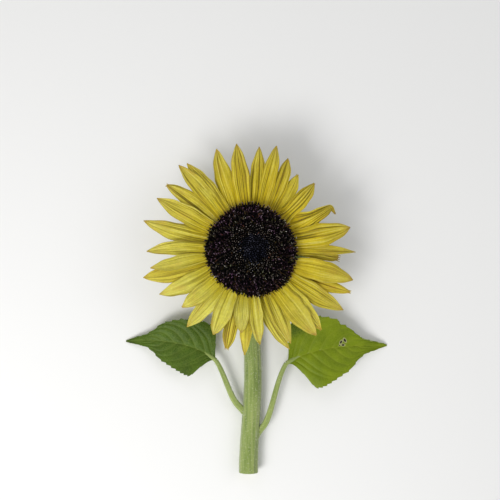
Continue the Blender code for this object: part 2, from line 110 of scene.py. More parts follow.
def fill(tree, node, inputs):
    """Fills inputs, by a socket's name or number, with a value, a socket or another node, whose
    first output is then linked."""
    live = [socket for socket in node.inputs if socket.enabled]
    for key, value in inputs.items():
        socket = live[key] if isinstance(key, int) else next(s for s in live if s.name == key)
        if isinstance(value, bpy.types.Node):
            value = next(s for s in value.outputs if s.enabled)
        if isinstance(value, bpy.types.NodeSocket):
            tree.links.new(value, socket)
        else:
            socket.default_value = value


def add(tree, kind, inputs=None, stops=(), **settings):
    """Adds a node with its settings, its inputs and, for a ramp, its colour stops."""
    made = tree.nodes.new(kind)
    for name, value in settings.items():
        setattr(made, name, value)
    for k, (place, code) in enumerate(stops):
        ramp = made.color_ramp.elements
        stop = ramp[k] if k < len(ramp) else ramp.new(place)
        stop.position = place
        stop.color = colour(code)
    fill(tree, made, inputs or {})
    return made


def maths(tree, operation, *values):
    """A math node on one to three values."""
    return add(tree, "ShaderNodeMath", dict(enumerate(values)), operation=operation)


def vectors(tree, operation, *values):
    """A math node on vectors."""
    return add(tree, "ShaderNodeVectorMath", dict(enumerate(values)), operation=operation)


def mixed(tree, factor, under, over):
    """A colour laid over another one."""
    return add(tree, "ShaderNodeMix", {"Factor": factor, "A": under, "B": over}, data_type="RGBA")


def new_material(name, values):
    """A material and its node tree and shader, with the values that are the same all over."""
    material = bpy.data.materials.new(name)
    material.use_nodes = True
    shader = material.node_tree.nodes["Principled BSDF"]
    fill(material.node_tree, shader, values)
    return material, material.node_tree, shader


print("middle grey is", round(colour("#808080")[0], 3), "in linear light")

# %% [markdown]
# Petals, bracts and leaf blades are all thin sheets. Each is drawn as rows of points from its
# foot to its tip, which gives it a UV map for nothing: across and along. Solidify then gives
# it a thickness and its own material on the back, since the back of a petal or a leaf is paler.
# A mark is a number kept for each point or face under a name, and a material or a node tree can
# read it.

# %% Sheets, marks and maps
def store_mark(mesh, name, values, domain="POINT"):
    """Keeps a number for each point, or for each face, as a named mark."""
    mesh.attributes.new(name, "FLOAT", domain).data.foreach_set("value", values)


def store_map(mesh, uvs):
    """Gives a mesh its UV map from one pair for each point."""
    layer = mesh.uv_layers.new(name="map")
    for loop in mesh.loops:
        layer.data[loop.index].uv = uvs[loop.vertex_index]


def sheet(name, rows, uvs, marks):
    """A mesh of one layer from rows of points, with a UV and its marks for each point."""
    across = len(rows[0])
    mesh = bpy.data.meshes.new(name)
    starts = [i * across + j for i in range(len(rows) - 1) for j in range(across - 1)]
    faces = [(a, a + 1, a + across + 1, a + across) for a in starts]
    mesh.from_pydata([point for row in rows for point in row], [], faces)
    store_map(mesh, [uv for row in uvs for uv in row])
    for mark, table in marks.items():
        store_mark(mesh, mark, [value for row in table for value in row])
    return mesh


def faced_outward(mesh):
    """Turns every face of a closed mesh outward."""
    work = bmesh.new()
    work.from_mesh(mesh)
    bmesh.ops.recalc_face_normals(work, faces=work.faces[:])
    work.to_mesh(mesh)
    work.free()
    return mesh


def triangles(mesh):
    return sum(len(face.vertices) - 2 for face in mesh.polygons)


print("mesh helpers:", ", ".join(made.__name__ for made in (sheet, faced_outward, triangles)))

# %% Modifiers, joining and finished pieces
SHARP = math.radians(55.0)


def linked(name, data):
    """A new object in the scene, for a mesh, a lamp or a camera."""
    made = bpy.data.objects.new(name, data)
    bpy.context.scene.collection.objects.link(made)
    return made


def applied(mesh, *steps):
    """The mesh as a stack of modifiers leaves it. A step is a kind with its settings, or a
    node tree with the values of its named inputs."""
    host = linked(mesh.name, mesh)
    for kind, settings in steps:
        if isinstance(kind, str):
            modifier = host.modifiers.new("step", kind)
            for name, value in settings.items():
                setattr(modifier, name, value)
        else:
            modifier = host.modifiers.new("step", "NODES")
            modifier.node_group = kind
            inputs = {item.name: item.identifier for item in kind.interface.items_tree}
            for name, value in settings.items():
                modifier[inputs[name]] = value
    view = bpy.context.evaluated_depsgraph_get()
    result = bpy.data.meshes.new_from_object(host.evaluated_get(view), depsgraph=view)
    bpy.data.objects.remove(host)
    return result


def joined(name, meshes):
    """One mesh from several, with their materials, UV maps and marks."""
    hosts = [linked(name, mesh) for mesh in meshes]
    with bpy.context.temp_override(active_object=hosts[0], selected_editable_objects=hosts):
        bpy.ops.object.join()
    mesh = hosts[0].data
    bpy.data.objects.remove(hosts[0])
    return mesh


def finished(name, mesh, slot, *nodes):
    """Moves a mesh from the head's frame to its place and lets it stand for the solids."""
    mesh.transform(Matrix.Translation(HEAD))
    mesh.shade_smooth()
    mesh.set_sharp_from_angle(angle=SHARP)
    made = linked(name, mesh)
    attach(made, "root")
    if nodes:
        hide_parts(*nodes)


print("edges sharper than", round(math.degrees(SHARP)), "degrees stay sharp")

# %% [markdown]
# ## Ray florets
#
# What look like petals are ray florets, each a flower of its own that grew into one strap. A
# strap is widest a third of the way out, has a few long creases where its fused petals meet,
# and ends in a point or in two or three small teeth. The real ones could be sculpted one by one,
# but a rule with a few numbers for each floret keeps them alike and lets each one differ.
#
# They lie in three levels, which are close together at the disc and part outside it. Each ray
# rises to a crest and droops from there to its tip.

# %% Outline and height of a ray
# rays come out from under the disc at the root radius, and their feet start a little further in
RAY_ROOT_RADIUS = 38.1 * MM
RAY_FOOT_RADIUS = 36.2 * MM
RAY_BASE_Z = BOWL_TOP_Z + GAP
RAY_FACE = 0.75 * MM
RAY_LEVEL_ROOT = 1.55 * MM
RAY_LEVEL_OUTER = 2.9 * MM
RAY_SPREAD_FROM = 42.0 * MM
RAY_SPREAD_TO = 62.0 * MM
RAY_CREST = 2.2 * MM
RAY_CREST_RADIUS = 66.0 * MM
RAY_SWELL = 0.42
RAY_END = 0.9


def ray_width(along, bluntness):
    """Half width of a ray floret from its foot to its tip, before it is scaled to 1."""
    return along ** RAY_SWELL * max(0.0, 1.0 - along ** bluntness) ** RAY_END


def ray_height(radius, level, reach, droop):
    """Height of the face of a ray floret: the levels part as they leave the disc."""
    part = smooth((radius - RAY_SPREAD_FROM) / (RAY_SPREAD_TO - RAY_SPREAD_FROM))
    step = RAY_LEVEL_ROOT + (RAY_LEVEL_OUTER - RAY_LEVEL_ROOT) * part
    crest = RAY_CREST * smooth((radius - RAY_ROOT_RADIUS) / (RAY_CREST_RADIUS - RAY_ROOT_RADIUS))
    bend = max(0.0, (radius - RAY_CREST_RADIUS) / (reach - RAY_CREST_RADIUS))
    return RAY_BASE_Z + RAY_FACE + level * step + crest - droop * bend * bend


print("the levels part from", round(RAY_LEVEL_ROOT / MM, 2), "to", round(RAY_LEVEL_OUTER / MM, 2), "mm")

# %% The rays, one row for each
# tip bearing, tip reach, middle bearing, root bearing, width, level, bluntness, tip droop
# (bearings in degrees, lengths in millimetres, level 0 behind to 2 in front)
RAYS = [
    (352.2, 92.0, 351.7, 351.5, 15.5, 2, 2.0, 1.5),
    (4.7, 89.5, 5.2, 5.0, 13.5, 1, 2.0, 1.0),
    (13.9, 92.5, 14.2, 14.6, 13.0, 2, 2.4, 2.0),
    (22.2, 86.0, 24.4, 25.4, 12.2, 1, 3.2, 2.5),
    (31.9, 78.2, 34.0, 34.4, 12.6, 0, 2.2, 3.0),
    (43.7, 79.8, 45.5, 44.8, 13.2, 2, 2.6, 4.0),
    (61.2, 83.5, 63.0, 61.6, 11.5, 1, 2.8, 5.0),
    (77.2, 88.2, 78.2, 76.5, 19.8, 2, 2.0, 3.0),
    (91.1, 91.0, 90.2, 89.0, 10.0, 1, 1.5, 3.0),
    (95.6, 78.5, 93.2, 90.5, 10.5, 0.3, 4.0, 3.0),
    (106.7, 91.5, 107.0, 110.0, 18.5, 2, 2.0, 1.0),
    (112.8, 94.5, 116.0, 120.0, 11.5, 0.5, 2.6, 1.5),
    (123.1, 95.0, 125.0, 126.0, 17.0, 1, 2.0, 0.5),
    (138.9, 91.5, 138.0, 137.0, 14.0, 1.75, 2.8, 1.0),
    (142.8, 92.5, 144.0, 145.0, 18.6, 2, 2.2, 0.5),
    (157.0, 87.5, 157.0, 157.8, 14.6, 1, 1.8, 1.5),
    (158.6, 92.0, 163.5, 167.0, 12.5, 0, 2.0, 1.0),
    (174.8, 82.0, 175.7, 176.0, 12.0, 2, 2.2, 3.0),
    (183.3, 90.5, 183.3, 184.0, 11.0, 0, 2.8, 1.0),
    (186.4, 72.0, 188.0, 189.8, 14.5, 1, 2.0, 0.8),
    (193.5, 89.0, 194.6, 196.0, 12.5, 0, 4.0, 1.0),
    (203.7, 79.8, 204.2, 204.8, 15.6, 2, 2.8, 4.0),
    (219.4, 86.0, 218.3, 216.5, 14.5, 1, 2.2, 2.0),
    (229.9, 77.0, 228.2, 228.0, 14.2, 2, 2.4, 4.5),
    (243.7, 87.2, 241.2, 242.4, 15.0, 1, 2.0, 2.0),
    (255.2, 95.2, 253.3, 253.0, 16.8, 0, 2.6, 0.5),
    (259.4, 87.4, 259.6, 262.0, 12.0, 1, 2.2, 1.5),
    (268.6, 89.0, 270.8, 271.0, 12.5, 2, 2.0, 2.0),
    (284.8, 95.0, 283.0, 284.0, 16.0, 1, 1.6, 0.5),
    (298.3, 91.5, 298.0, 298.3, 16.0, 2, 1.9, 1.5),
    (307.2, 92.0, 309.3, 310.0, 14.0, 1, 2.6, 1.0),
    (319.2, 95.0, 319.9, 320.0, 14.0, 2, 2.2, 0.5),
    (323.2, 92.0, 324.7, 326.5, 13.0, 1.75, 2.4, 1.0),
    (341.1, 92.0, 339.2, 337.2, 15.6, 1, 2.2, 1.0),
]
print("rays:", len(RAYS), "with", sum(row[5] == 2 for row in RAYS), "in front")

# %% [markdown]
# Some rays have a habit of their own: a tip that hooks over, a strap that twists, an edge that
# folds, a jagged end, round shoulders where the strap narrows early to its claw, or a colour
# more even than the others'. They go in a table of exceptions, so the rule itself stays plain.
# The random part of each ray is drawn from a generator seeded with its number, so no ray
# changes when another one does.

# %% Habits of single rays
# twist at the tip in degrees, hook to the right in mm, half width of the tip in mm, teeth at the
# tip, lift of the left and of the right edge in mm, depth of the creases in mm, width of the foot
# as a share of the whole width and how far along it reaches, distance of round shoulders from the
# axis in mm, and how even its colour is, from 0, streaked, to 1
PLAIN_HABIT = {"twist": 0.0, "hook": 0.0, "tip": 0.35, "teeth": 0, "left": 0.0, "right": 0.0,
               "crease": 0.4, "foot": 0.62, "foot_to": 0.35, "shoulder": 0.0, "even": 0.0}
HABITS = {
    1: {"crease": 0.6},
    3: {"left": 0.5},
    5: {"tip": 0.9, "teeth": 2},
    6: {"tip": 0.9, "left": 0.6, "foot": 1.1, "crease": 0.25},
    7: {"hook": 6.9, "twist": 6.0, "tip": 1.0, "foot": 2.4, "foot_to": 0.75, "crease": 0.6},
    8: {"crease": 0.9, "left": -0.8, "right": 0.5},
    9: {"twist": 38.0, "left": 0.8, "crease": 0.55},
    10: {"tip": 2.4, "teeth": 3, "crease": 0.3},
    11: {"left": 0.4, "crease": 0.3, "foot": 0.45, "shoulder": 38.9, "even": 0.6},
    12: {"tip": 1.3, "teeth": 3, "crease": 0.3},
    13: {"crease": 0.8, "right": 0.4},
    14: {"tip": 0.9, "crease": 0.3},
    15: {"tip": 0.7, "teeth": 2, "crease": 0.15, "even": 0.8},
    16: {"crease": 0.8, "shoulder": 38.8},
    17: {"crease": 0.6},
    18: {"hook": -0.5, "twist": 12.0, "crease": 0.75, "shoulder": 38.8},
    19: {"tip": 0.8},
    20: {"left": 0.5, "shoulder": 38.8},
    21: {"tip": 1.9, "teeth": 3, "crease": 0.3},
    22: {"left": 0.4, "right": -0.4, "crease": 0.3, "foot": 0.8, "shoulder": 38.6, "even": 0.4},
    23: {"even": 0.5},
    24: {"tip": 0.7, "left": 0.6, "crease": 0.2, "foot": 0.95, "shoulder": 38.9, "even": 0.8},
    25: {"even": 0.5},
    26: {"even": 0.4},
    27: {"left": 2.4, "crease": 0.3, "even": 0.5},
    28: {"twist": -8.0, "crease": 0.3},
    29: {"right": 0.4, "crease": 0.5, "even": 0.3},
    30: {"crease": 0.6},
    31: {"tip": 1.2, "teeth": 3},
    32: {"left": 0.3, "crease": 0.6},
    34: {"tip": 0.5, "crease": 0.5},
}
print("rays with a habit:", len(HABITS))

# %% The line of a ray, and its shoulders
HOOK_FROM = 0.84
HOOK_BACK = 0.54
CLAW = 2.0 * MM
SHOULDER_RUN = 5.0 * MM


def ray_line(tip_bearing, reach, middle_bearing, root_bearing, hook):
    """The middle line of a ray from above, as a function of the share of the way along it. Its
    end bends over where it hooks."""
    root = on_bearing(root_bearing, RAY_FOOT_RADIUS)
    tip = on_bearing(tip_bearing, reach)
    middle = on_bearing(middle_bearing, 0.5 * (RAY_ROOT_RADIUS + reach))
    bend = middle * 2.0 - (root + tip) * 0.5
    ahead = (tip - bend).normalized()
    right = Vector((ahead.y, -ahead.x, 0.0))

    def spine(along):
        sway = hook * smooth((along - HOOK_FROM) / (1.0 - HOOK_FROM)) ** 2
        return arc(root, bend, tip, along) + right * sway - ahead * (HOOK_BACK * abs(sway))

    return spine


def with_claw(half, distance, shoulder):
    """Half width of a strap that is only a narrow claw out to a distance from the bloom's axis,
    and widens from there with round shoulders."""
    rise = min(1.0, max(0.0, (distance - shoulder) / SHOULDER_RUN))
    return max(min(half, CLAW), half * math.sqrt(1.0 - (1.0 - rise) ** 2))


print("a claw is", round(2.0 * CLAW / MM, 1), "mm wide")

# %% Creases of a ray
# how many a ray has, and the ranges that each one's place across the strap, half width, depth
# and end along the strap are drawn from, as shares of the strap's half width and length
CREASES = (2, 4)
CREASE_PLACES = (-0.75, 0.75)
CREASE_WIDTHS = (0.05, 0.10)
CREASE_STRENGTHS = (0.35, 1.0)
CREASE_ENDS = (0.6, 1.15)
CREASE_WANDER = 0.05
CREASE_WANDER_RATE = 5.0
CREASE_FROM = 0.12
CREASE_LOSS_AT_TIP = 0.8


def crease_share(u, along, drift, creases):
    """How deep the deepest crease is at a point of the strap, as a share of a full one."""
    deepest = 0.0
    for place, breadth, strength, end in creases:
        off = (u - place - drift) / breadth
        deepest = max(deepest, strength * (1.0 - smooth(along / end)) * math.exp(-off ** 2))
    return deepest


print("creases on a ray:", CREASES[0], "to", CREASES[1])

# %% Shape of one ray
RAY_STATIONS = 44
RAY_COLUMNS = 41
RAY_TIP_CROWDING = 0.35
RAY_TIP = 0.35 * MM
SPINE_STEP = 0.01
# a strap is cambered in full where its half width is this or more
RAY_CAMBER = 0.75 * MM
RAY_CAMBER_HALF_WIDTH = 5.0 * MM
# broad ridges and fine ribs run along it, and it buckles up and down from foot to tip
RIDGE = 0.16 * MM
RIDGE_RATE = 6.0
RIB = 0.05 * MM
RIBS = 7
BUCKLE = 0.6 * MM
BUCKLES = 1.2
# its margins wave in and out as a share of its half width, and up and down
MARGIN_WAVE = 0.045
MARGIN_LIFT = 0.3 * MM
EDGE_POWER = 3
HOOK_DIP = 0.5
TWIST_FROM = 0.35
TOOTH_LENGTH = 1.3 * MM
TOOTH_FULL_TIP = 1.3


def ray_rows(number, row):
    """Rows of points, UVs and marks of one ray's face, from its claw to its tip."""
    tip_bearing, reach, middle_bearing, root_bearing, width, level, bluntness, droop = row
    habit = dict(PLAIN_HABIT, **HABITS.get(number, {}))
    chance = random.Random(number)
    phases = [chance.uniform(0.0, 2.0 * math.pi) for _ in range(4)]
    rates = [chance.uniform(2.2, 3.6) for _ in range(2)]
    creases = [(chance.uniform(*CREASE_PLACES), chance.uniform(*CREASE_WIDTHS),
                chance.uniform(*CREASE_STRENGTHS), chance.uniform(*CREASE_ENDS))
               for _ in range(chance.randint(*CREASES))]
    reach = reach * MM
    spine = ray_line(tip_bearing, reach, middle_bearing, root_bearing, habit["hook"] * MM)
    widest = max(ray_width(k / 100.0, bluntness) for k in range(101))
    rows, uvs, lines = [], [], []
    for i in range(RAY_STATIONS):
        step = i / (RAY_STATIONS - 1)
        along = step + RAY_TIP_CROWDING * step * (1.0 - step)
        centre = spine(along)
        ahead = spine(min(1.0, along + SPINE_STEP))
        heading = (ahead - spine(max(0.0, along - SPINE_STEP))).normalized()
        side = Vector((heading.y, -heading.x, 0.0))
        foot = habit["foot"] * (1.0 - smooth(along / habit["foot_to"]))
        half = 0.5 * width * MM * math.hypot(foot, ray_width(along, bluntness) / widest)
        if habit["shoulder"]:
            half = with_claw(half, centre.length, habit["shoulder"] * MM)
        half = max(half, RAY_TIP, habit["tip"] * MM * smooth(2.0 * along))
        free = smooth((centre.length - RAY_SPREAD_FROM) / (RAY_SPREAD_TO - RAY_SPREAD_FROM))
        ending = smooth((along - HOOK_FROM) / (1.0 - HOOK_FROM))
        centre.z = ray_height(centre.length, level, reach, droop * MM)
        buckle = math.sin(2.0 * math.pi * BUCKLES * along + phases[2])
        centre.z += BUCKLE * free * (1.0 - ending) * buckle
        centre.z -= HOOK_DIP * abs(habit["hook"]) * MM * ending ** 2
        fullness = min(1.0, half / RAY_CAMBER_HALF_WIDTH)
        turn = math.radians(habit["twist"]) * smooth((along - TWIST_FROM) / (1.0 - TWIST_FROM))
        starting = smooth(along / CREASE_FROM)
        depth = habit["crease"] * MM * fullness * starting * (1.0 - CREASE_LOSS_AT_TIP * ending)
        drift = CREASE_WANDER * math.sin(CREASE_WANDER_RATE * along + phases[3])
        points, pairs, depths = [], [], []
        for j in range(RAY_COLUMNS):
            u = 2.0 * j / (RAY_COLUMNS - 1) - 1.0
            hand = 0 if u < 0.0 else 1
            edge = abs(u) ** EDGE_POWER
            wave = math.sin(2.0 * math.pi * rates[hand] * along + phases[hand])
            across = u * half * (1.0 + MARGIN_WAVE * free * (1.0 - ending) * wave * abs(u))
            groove = crease_share(u, along, drift, creases)
            lift = RAY_CAMBER * (level - 1) * fullness * u * u - depth * groove
            lift += RIDGE * fullness * math.cos(RIDGE_RATE * u + phases[2]) * (1.0 - u * u)
            lift += RIB * fullness * math.cos(2.0 * math.pi * RIBS * u)
            lift += MARGIN_LIFT * free * fullness * wave * edge
            lift += (habit["left"], habit["right"])[hand] * MM * free * fullness * edge
            tooth = abs(math.sin(0.5 * math.pi * habit["teeth"] * (u + 1.0)))
            forward = -TOOTH_LENGTH * ending * tooth
            forward *= habit["tip"] / TOOTH_FULL_TIP if habit["teeth"] else 0.0
            point = centre + side * (across * math.cos(turn)) + heading * forward
            points.append(point + UP * (across * math.sin(turn) + lift))
            pairs.append((0.5 * (u + 1.0), along))
            depths.append(groove * habit["crease"] * starting)
        rows.append(points)
        uvs.append(pairs)
        lines.append(depths)
    return rows, uvs, lines


print("one ray:", RAY_STATIONS, "by", RAY_COLUMNS, "points")

# %% [markdown]
# ### How a petal is coloured
#
# Ray florets are coloured by carotene in a thin skin over white tissue, so the colour is
# strongest at the foot, where the tissue is thick, and pales outward. Veins run along the strap
# and look darker, and the creases are painted darker as shade. All of that follows the strap, so
# the material reads the UV map: across is its X and along is its Y.
#
# Four marks on its mesh make each ray its own. One says how deep a yellow it has, and on most rays
# it is painted light and shade that follows the ray's bearing, "own" moves the noise that its
# streaks are drawn with, so that no two rays are streaked alike, "even" says how faint those
# streaks are, and "crease" how deep in a crease a point lies.

# %% Streaks along a petal
# noise cells across the strap and along it: streaks a millimetre or two apart, a little coarser
# than the real veins so that they show
STREAKS = (12.5, 0.9, 1.0)
FAINTEST = 0.3


def petal_streaks(tree, place, along, own, tone):
    """The noise that draws the streaks, and how far a point lies in a dark or a light one."""
    drawn = add(tree, "ShaderNodeMapping", {"Vector": place, "Scale": STREAKS})
    streaks = add(tree, "ShaderNodeTexNoise", {"Vector": drawn, "W": own, "Scale": 1.0, "Detail": 3.0,
                  "Roughness": 0.55}, noise_dimensions="4D").outputs["Fac"]
    # they are plain at the foot, fade toward the tip and are faint on an even ray
    plain = add(tree, "ShaderNodeMapRange", {"Value": along, "From Min": 0.15, "To Min": 0.95,
                "To Max": 0.85})
    even = add(tree, "ShaderNodeAttribute", attribute_name="even").outputs["Fac"]
    kept = add(tree, "ShaderNodeMapRange", {"Value": even, "To Min": 1.0, "To Max": FAINTEST})
    strength = maths(tree, "MULTIPLY", plain, kept)
    low = add(tree, "ShaderNodeMapRange", {"Value": streaks, "From Min": 0.49, "From Max": 0.38})
    dark = maths(tree, "MULTIPLY", low, strength)
    # the light ones are pale streaks and partly painted highlight, and show best on the deeper yellow
    high = add(tree, "ShaderNodeMapRange", {"Value": streaks, "From Min": 0.52, "From Max": 0.68})
    shown = add(tree, "ShaderNodeMapRange", {"Value": tone, "To Min": 1.0, "To Max": 0.55})
    pale_streak_and_highlight = maths(tree, "MULTIPLY", high, shown)
    light = maths(tree, "MULTIPLY", pale_streak_and_highlight, kept)
    return streaks, dark, light


print("streaks across a petal:", STREAKS[0])

# %% Age of a petal
# noise cells across and along: blotches a few millimetres long, and a grain of about one
BLOTCHES = (2.5, 5.0, 1.0)
GRAIN = (13.0, 30.0, 1.0)
TAN = "#B98F3C"
DRY_MARGIN = "#8E7C2A"


def petal_age(tree, place, parts, own, young):
    """The colour of a petal with its blotches, its tan patches and its dry margin."""
    # where the skin is thicker or the sun has bleached it
    blotch = add(tree, "ShaderNodeMapping", {"Vector": place, "Scale": BLOTCHES})
    cloud = add(tree, "ShaderNodeTexNoise", {"Vector": blotch, "W": own, "Scale": 1.0, "Detail": 4.0},
                noise_dimensions="4D")
    bright = add(tree, "ShaderNodeMapRange", {"Value": cloud, "From Min": 0.3, "From Max": 0.7,
                 "To Min": 0.88, "To Max": 1.10})
    # the skin is a little uneven from one millimetre to the next
    fine = add(tree, "ShaderNodeMapping", {"Vector": place, "Scale": GRAIN})
    grain = add(tree, "ShaderNodeTexNoise", {"Vector": fine, "W": own, "Scale": 1.0, "Detail": 3.0},
                noise_dimensions="4D")
    uneven = add(tree, "ShaderNodeMapRange", {"Value": grain, "From Min": 0.3, "From Max": 0.7,
                 "To Min": 0.90, "To Max": 1.10})
    value = maths(tree, "MULTIPLY", bright, uneven)
    clouded = add(tree, "ShaderNodeHueSaturation", {"Value": value, "Color": young})
    # tan patches, where the petal has begun to age, grow plainer outward
    patch = add(tree, "ShaderNodeSeparateColor", {"Color": cloud.outputs["Color"]})
    aged = add(tree, "ShaderNodeMapRange", {"Value": patch.outputs["Green"], "From Min": 0.50,
               "From Max": 0.70, "To Max": 0.42})
    outer = maths(tree, "MULTIPLY", aged, parts.outputs["Y"])
    tanned = mixed(tree, outer, clouded, colour(TAN))
    # and the margin is thin, so it dries first
    middle = maths(tree, "SUBTRACT", parts.outputs["X"], 0.5)
    aside = maths(tree, "ABSOLUTE", middle)
    margin = add(tree, "ShaderNodeMapRange", {"Value": aside, "From Min": 0.44, "From Max": 0.50,
                 "To Max": 0.40})
    return mixed(tree, margin, tanned, colour(DRY_MARGIN))


print("an old petal turns", TAN, "and its margin", DRY_MARGIN)

# %% Petal finishes
def petal_finish(name, pale_stops, deep_stops, vein_and_crease_shade_code, pale_streak_and_highlight_code, values):
    """Satin petal skin: a pale and a deep row of colours from foot to tip, mixed by each ray's depth of
    yellow, which is partly painted light and shade, streaked, with creases painted darker as shade, and
    aged.
    """
    material, tree, shader = new_material(name, values)
    place = add(tree, "ShaderNodeUVMap", uv_map="map")
    parts = add(tree, "ShaderNodeSeparateXYZ", {0: place})
    along = parts.outputs["Y"]
    pale = add(tree, "ShaderNodeValToRGB", {"Fac": along}, pale_stops)
    deep = add(tree, "ShaderNodeValToRGB", {"Fac": along}, deep_stops)
    tone = add(tree, "ShaderNodeAttribute", attribute_name="tone").outputs["Fac"]
    toned = mixed(tree, tone, pale, deep)
    own = add(tree, "ShaderNodeAttribute", attribute_name="own").outputs["Fac"]
    streaks, dark, light = petal_streaks(tree, place, along, own, tone)
    crease = add(tree, "ShaderNodeAttribute", attribute_name="crease").outputs["Fac"]
    # dark streaks are the veins; the creases are painted darker, as the shade in them
    dark_veins_and_painted_crease_shade = maths(tree, "MAXIMUM", dark, crease)
    # pale streaks, partly painted highlight
    lit = mixed(tree, light, toned, colour(pale_streak_and_highlight_code))
    veined = mixed(tree, dark_veins_and_painted_crease_shade, lit, colour(vein_and_crease_shade_code))
    relief = add(tree, "ShaderNodeBump", {"Height": streaks, "Strength": 0.6, "Distance": 0.5 * MM})
    fill(tree, shader, {"Base Color": petal_age(tree, place, parts, own, veined), "Normal": relief})
    return material


# satin skin over soft tissue: a low, wide highlight that hardly whitens the yellow
PETAL_SHADER = {"Roughness": 0.60, "Specular IOR Level": 0.20, "Subsurface Weight": 0.60,
                "Subsurface Radius": (1.0, 0.95, 0.2), "Subsurface Scale": 1.2 * MM}
LEMON = [(0.0, "#AC9814"), (0.10, "#D0BD28"), (0.20, "#D1C236"), (0.42, "#CFC652"),
         (0.63, "#CCC352"), (0.90, "#C8BF58"), (1.0, "#B2923C")]
# the deep row of the pale rays: a deeper gold that is painted shade on the rays away from the key light
GOLDEN_PAINTED_SHADE = [(0.0, "#9A7E00"), (0.10, "#C4A900"), (0.20, "#C5AD02"), (0.42, "#C2AC12"),
          (0.63, "#BEAA22"), (0.90, "#BAA936"), (1.0, "#A28232")]
SHADED_GOLD = [(0.0, "#907C00"), (0.20, "#C2A804"), (0.50, "#C0A80C"), (0.90, "#BFA718"),
               (1.0, "#A68A24")]
BACK_PALE = [(0.0, "#7E7A1E"), (0.4, "#B5AE4C"), (1.0, "#BDB04A")]
BACK_DEEP = [(0.0, "#6E681A"), (0.4, "#A59A34"), (1.0, "#A09238")]
petal_pale = petal_finish("ray floret, pale lemon satin", LEMON, GOLDEN_PAINTED_SHADE, "#665A06", "#E6E07C",
                          PETAL_SHADER)
petal_deep = petal_finish("ray floret, deep yellow satin", LEMON, SHADED_GOLD, "#705F06", "#E8DC58",
                          PETAL_SHADER)
petal_back = petal_finish("ray floret, pale green back", BACK_PALE, BACK_DEEP, "#6E6A1E", "#C6C070",
                          PETAL_SHADER)
print("petal finishes:", petal_pale.name, "/", petal_deep.name, "/", petal_back.name)

# %% [markdown]
# Each ray is built from its row, thickened to a third of a millimetre and given the paler
# back. Rays low on the bloom, on the key light's side, are painted palest and those at the top a
# deeper gold, as painted light and shade, so a ray's depth of yellow follows its bearing with a
# little chance. Each of the rays tucked behind has a depth of yellow of its own, a deeper gold
# that stands partly for the painted shade of the rays in front.

# %% Build the rays
RAY_SHEET = 0.35 * MM
# the rays tucked behind, each with its tone, from 0, pale, to 1
DEEP_RAYS = {5: 0.6, 10: 0.6, 12: 0.8, 14: 0.3, 17: 0.2, 19: 0.5, 21: 0.6, 26: 0.4, 33: 0.4}
PAINTED_LIGHT_BEARING = 225.0
TONE_POWER = 0.7
TONE_CHANCE = 0.07
TONE_SEED = 1000
OWN_STEP = 1.7

ray_triangles = 0
for number, row in enumerate(RAYS, start=1):
    rows, uvs, lines = ray_rows(number, row)
    stray = random.Random(TONE_SEED + number).uniform(-TONE_CHANCE, TONE_CHANCE)
    # painted light and shade: the nearer a ray's bearing to the key light's side, the paler it is
    spread = 0.5 - 0.5 * math.cos(math.radians(row[0] - PAINTED_LIGHT_BEARING))
    tone = min(1.0, max(0.0, DEEP_RAYS.get(number, spread ** TONE_POWER + stray)))
    even = dict(PLAIN_HABIT, **HABITS.get(number, {}))["even"]
    whole = {"tone": tone, "own": OWN_STEP * number, "even": even}
    marks = {mark: [[value] * RAY_COLUMNS] * RAY_STATIONS for mark, value in whole.items()}
    face = sheet("ray_face", rows, uvs, {"crease": lines, **marks})
    face.materials.append(petal_deep if number in DEEP_RAYS else petal_pale)
    face.materials.append(petal_back)
    ray = applied(face, ("SOLIDIFY", {"thickness": RAY_SHEET, "offset": -1.0, "material_offset": 1}))
    slot = "ray_petal_deep" if number in DEEP_RAYS else "ray_petal"
    ray_triangles += triangles(ray)
    finished("petal_%02d" % number, ray, slot, "ray_%02d" % number)
print("rays in all:", ray_triangles, "triangles")

# %% [markdown]
# ## The disc
#
# The dark disc is a crowd of some 1400 tiny flowers on a low dome. The outer ones are open, each
# with two curled stigmas, the ones in a ring further in are just opening, and the middle ones
# are still buds. The dome itself hardly shows between them, so it is a plain polar grid: it
# swells to a ring and dips in the middle, which lies a little off centre. Its edge is not quite
# round, but swells in and out by a few slow waves and some small bumps.

# %% Heights of the disc, and its uneven edge
DISC_LIP_RADIUS = 38.4 * MM
# cosine and sine share of each wave of the edge in mm, from one wave all round to five
DISC_LIP_WAVES = [(-1.05, 0.18), (0.0, -0.70), (0.23, 0.46), (0.27, -0.31), (0.22, 0.15)]
DISC_LIP_BUMPS = 1.7 * MM
DISC_LIP_BUMP_RATE = 9.0
DISC_LIP_BUMP_PLACE = 0.7
DISC_RIM_Z = BOWL_TOP_Z + 7.6 * MM
DISC_RING_RISE = 9.6 * MM
DISC_SWELL_SHARE = 0.42
DISC_RING_RADIUS = 24.0 * MM
DISC_DIMPLE_DEPTH = 3.6 * MM
DISC_MIDDLE = Vector((3.6 * MM, 0.8 * MM, 0.0))
# how far below the crown the dome lies, so that its florets reach the crown
FLORET_ROOM_RIM = 1.2 * MM
FLORET_ROOM = 2.9 * MM
FLORET_ROOM_FROM = 8.0 * MM


def disc_height(x, y):
    """Height of the crown of the disc, which the tips of the florets reach."""
    inward = 1.0 - min(1.0, math.hypot(x, y) / DISC_RADIUS)
    swell = DISC_RING_RISE * (1.0 - (1.0 - min(1.0, inward / DISC_SWELL_SHARE)) ** 2)
    dimple = math.hypot(x - DISC_MIDDLE.x, y - DISC_MIDDLE.y) / DISC_RING_RADIUS
    return DISC_RIM_Z + swell - DISC_DIMPLE_DEPTH * (1.0 - smooth(dimple))


def dome_height(x, y):
    """Height of the dome that the florets stand on."""
    inward = smooth((DISC_RADIUS - math.hypot(x, y)) / FLORET_ROOM_FROM)
    return disc_height(x, y) - FLORET_ROOM_RIM - (FLORET_ROOM - FLORET_ROOM_RIM) * inward


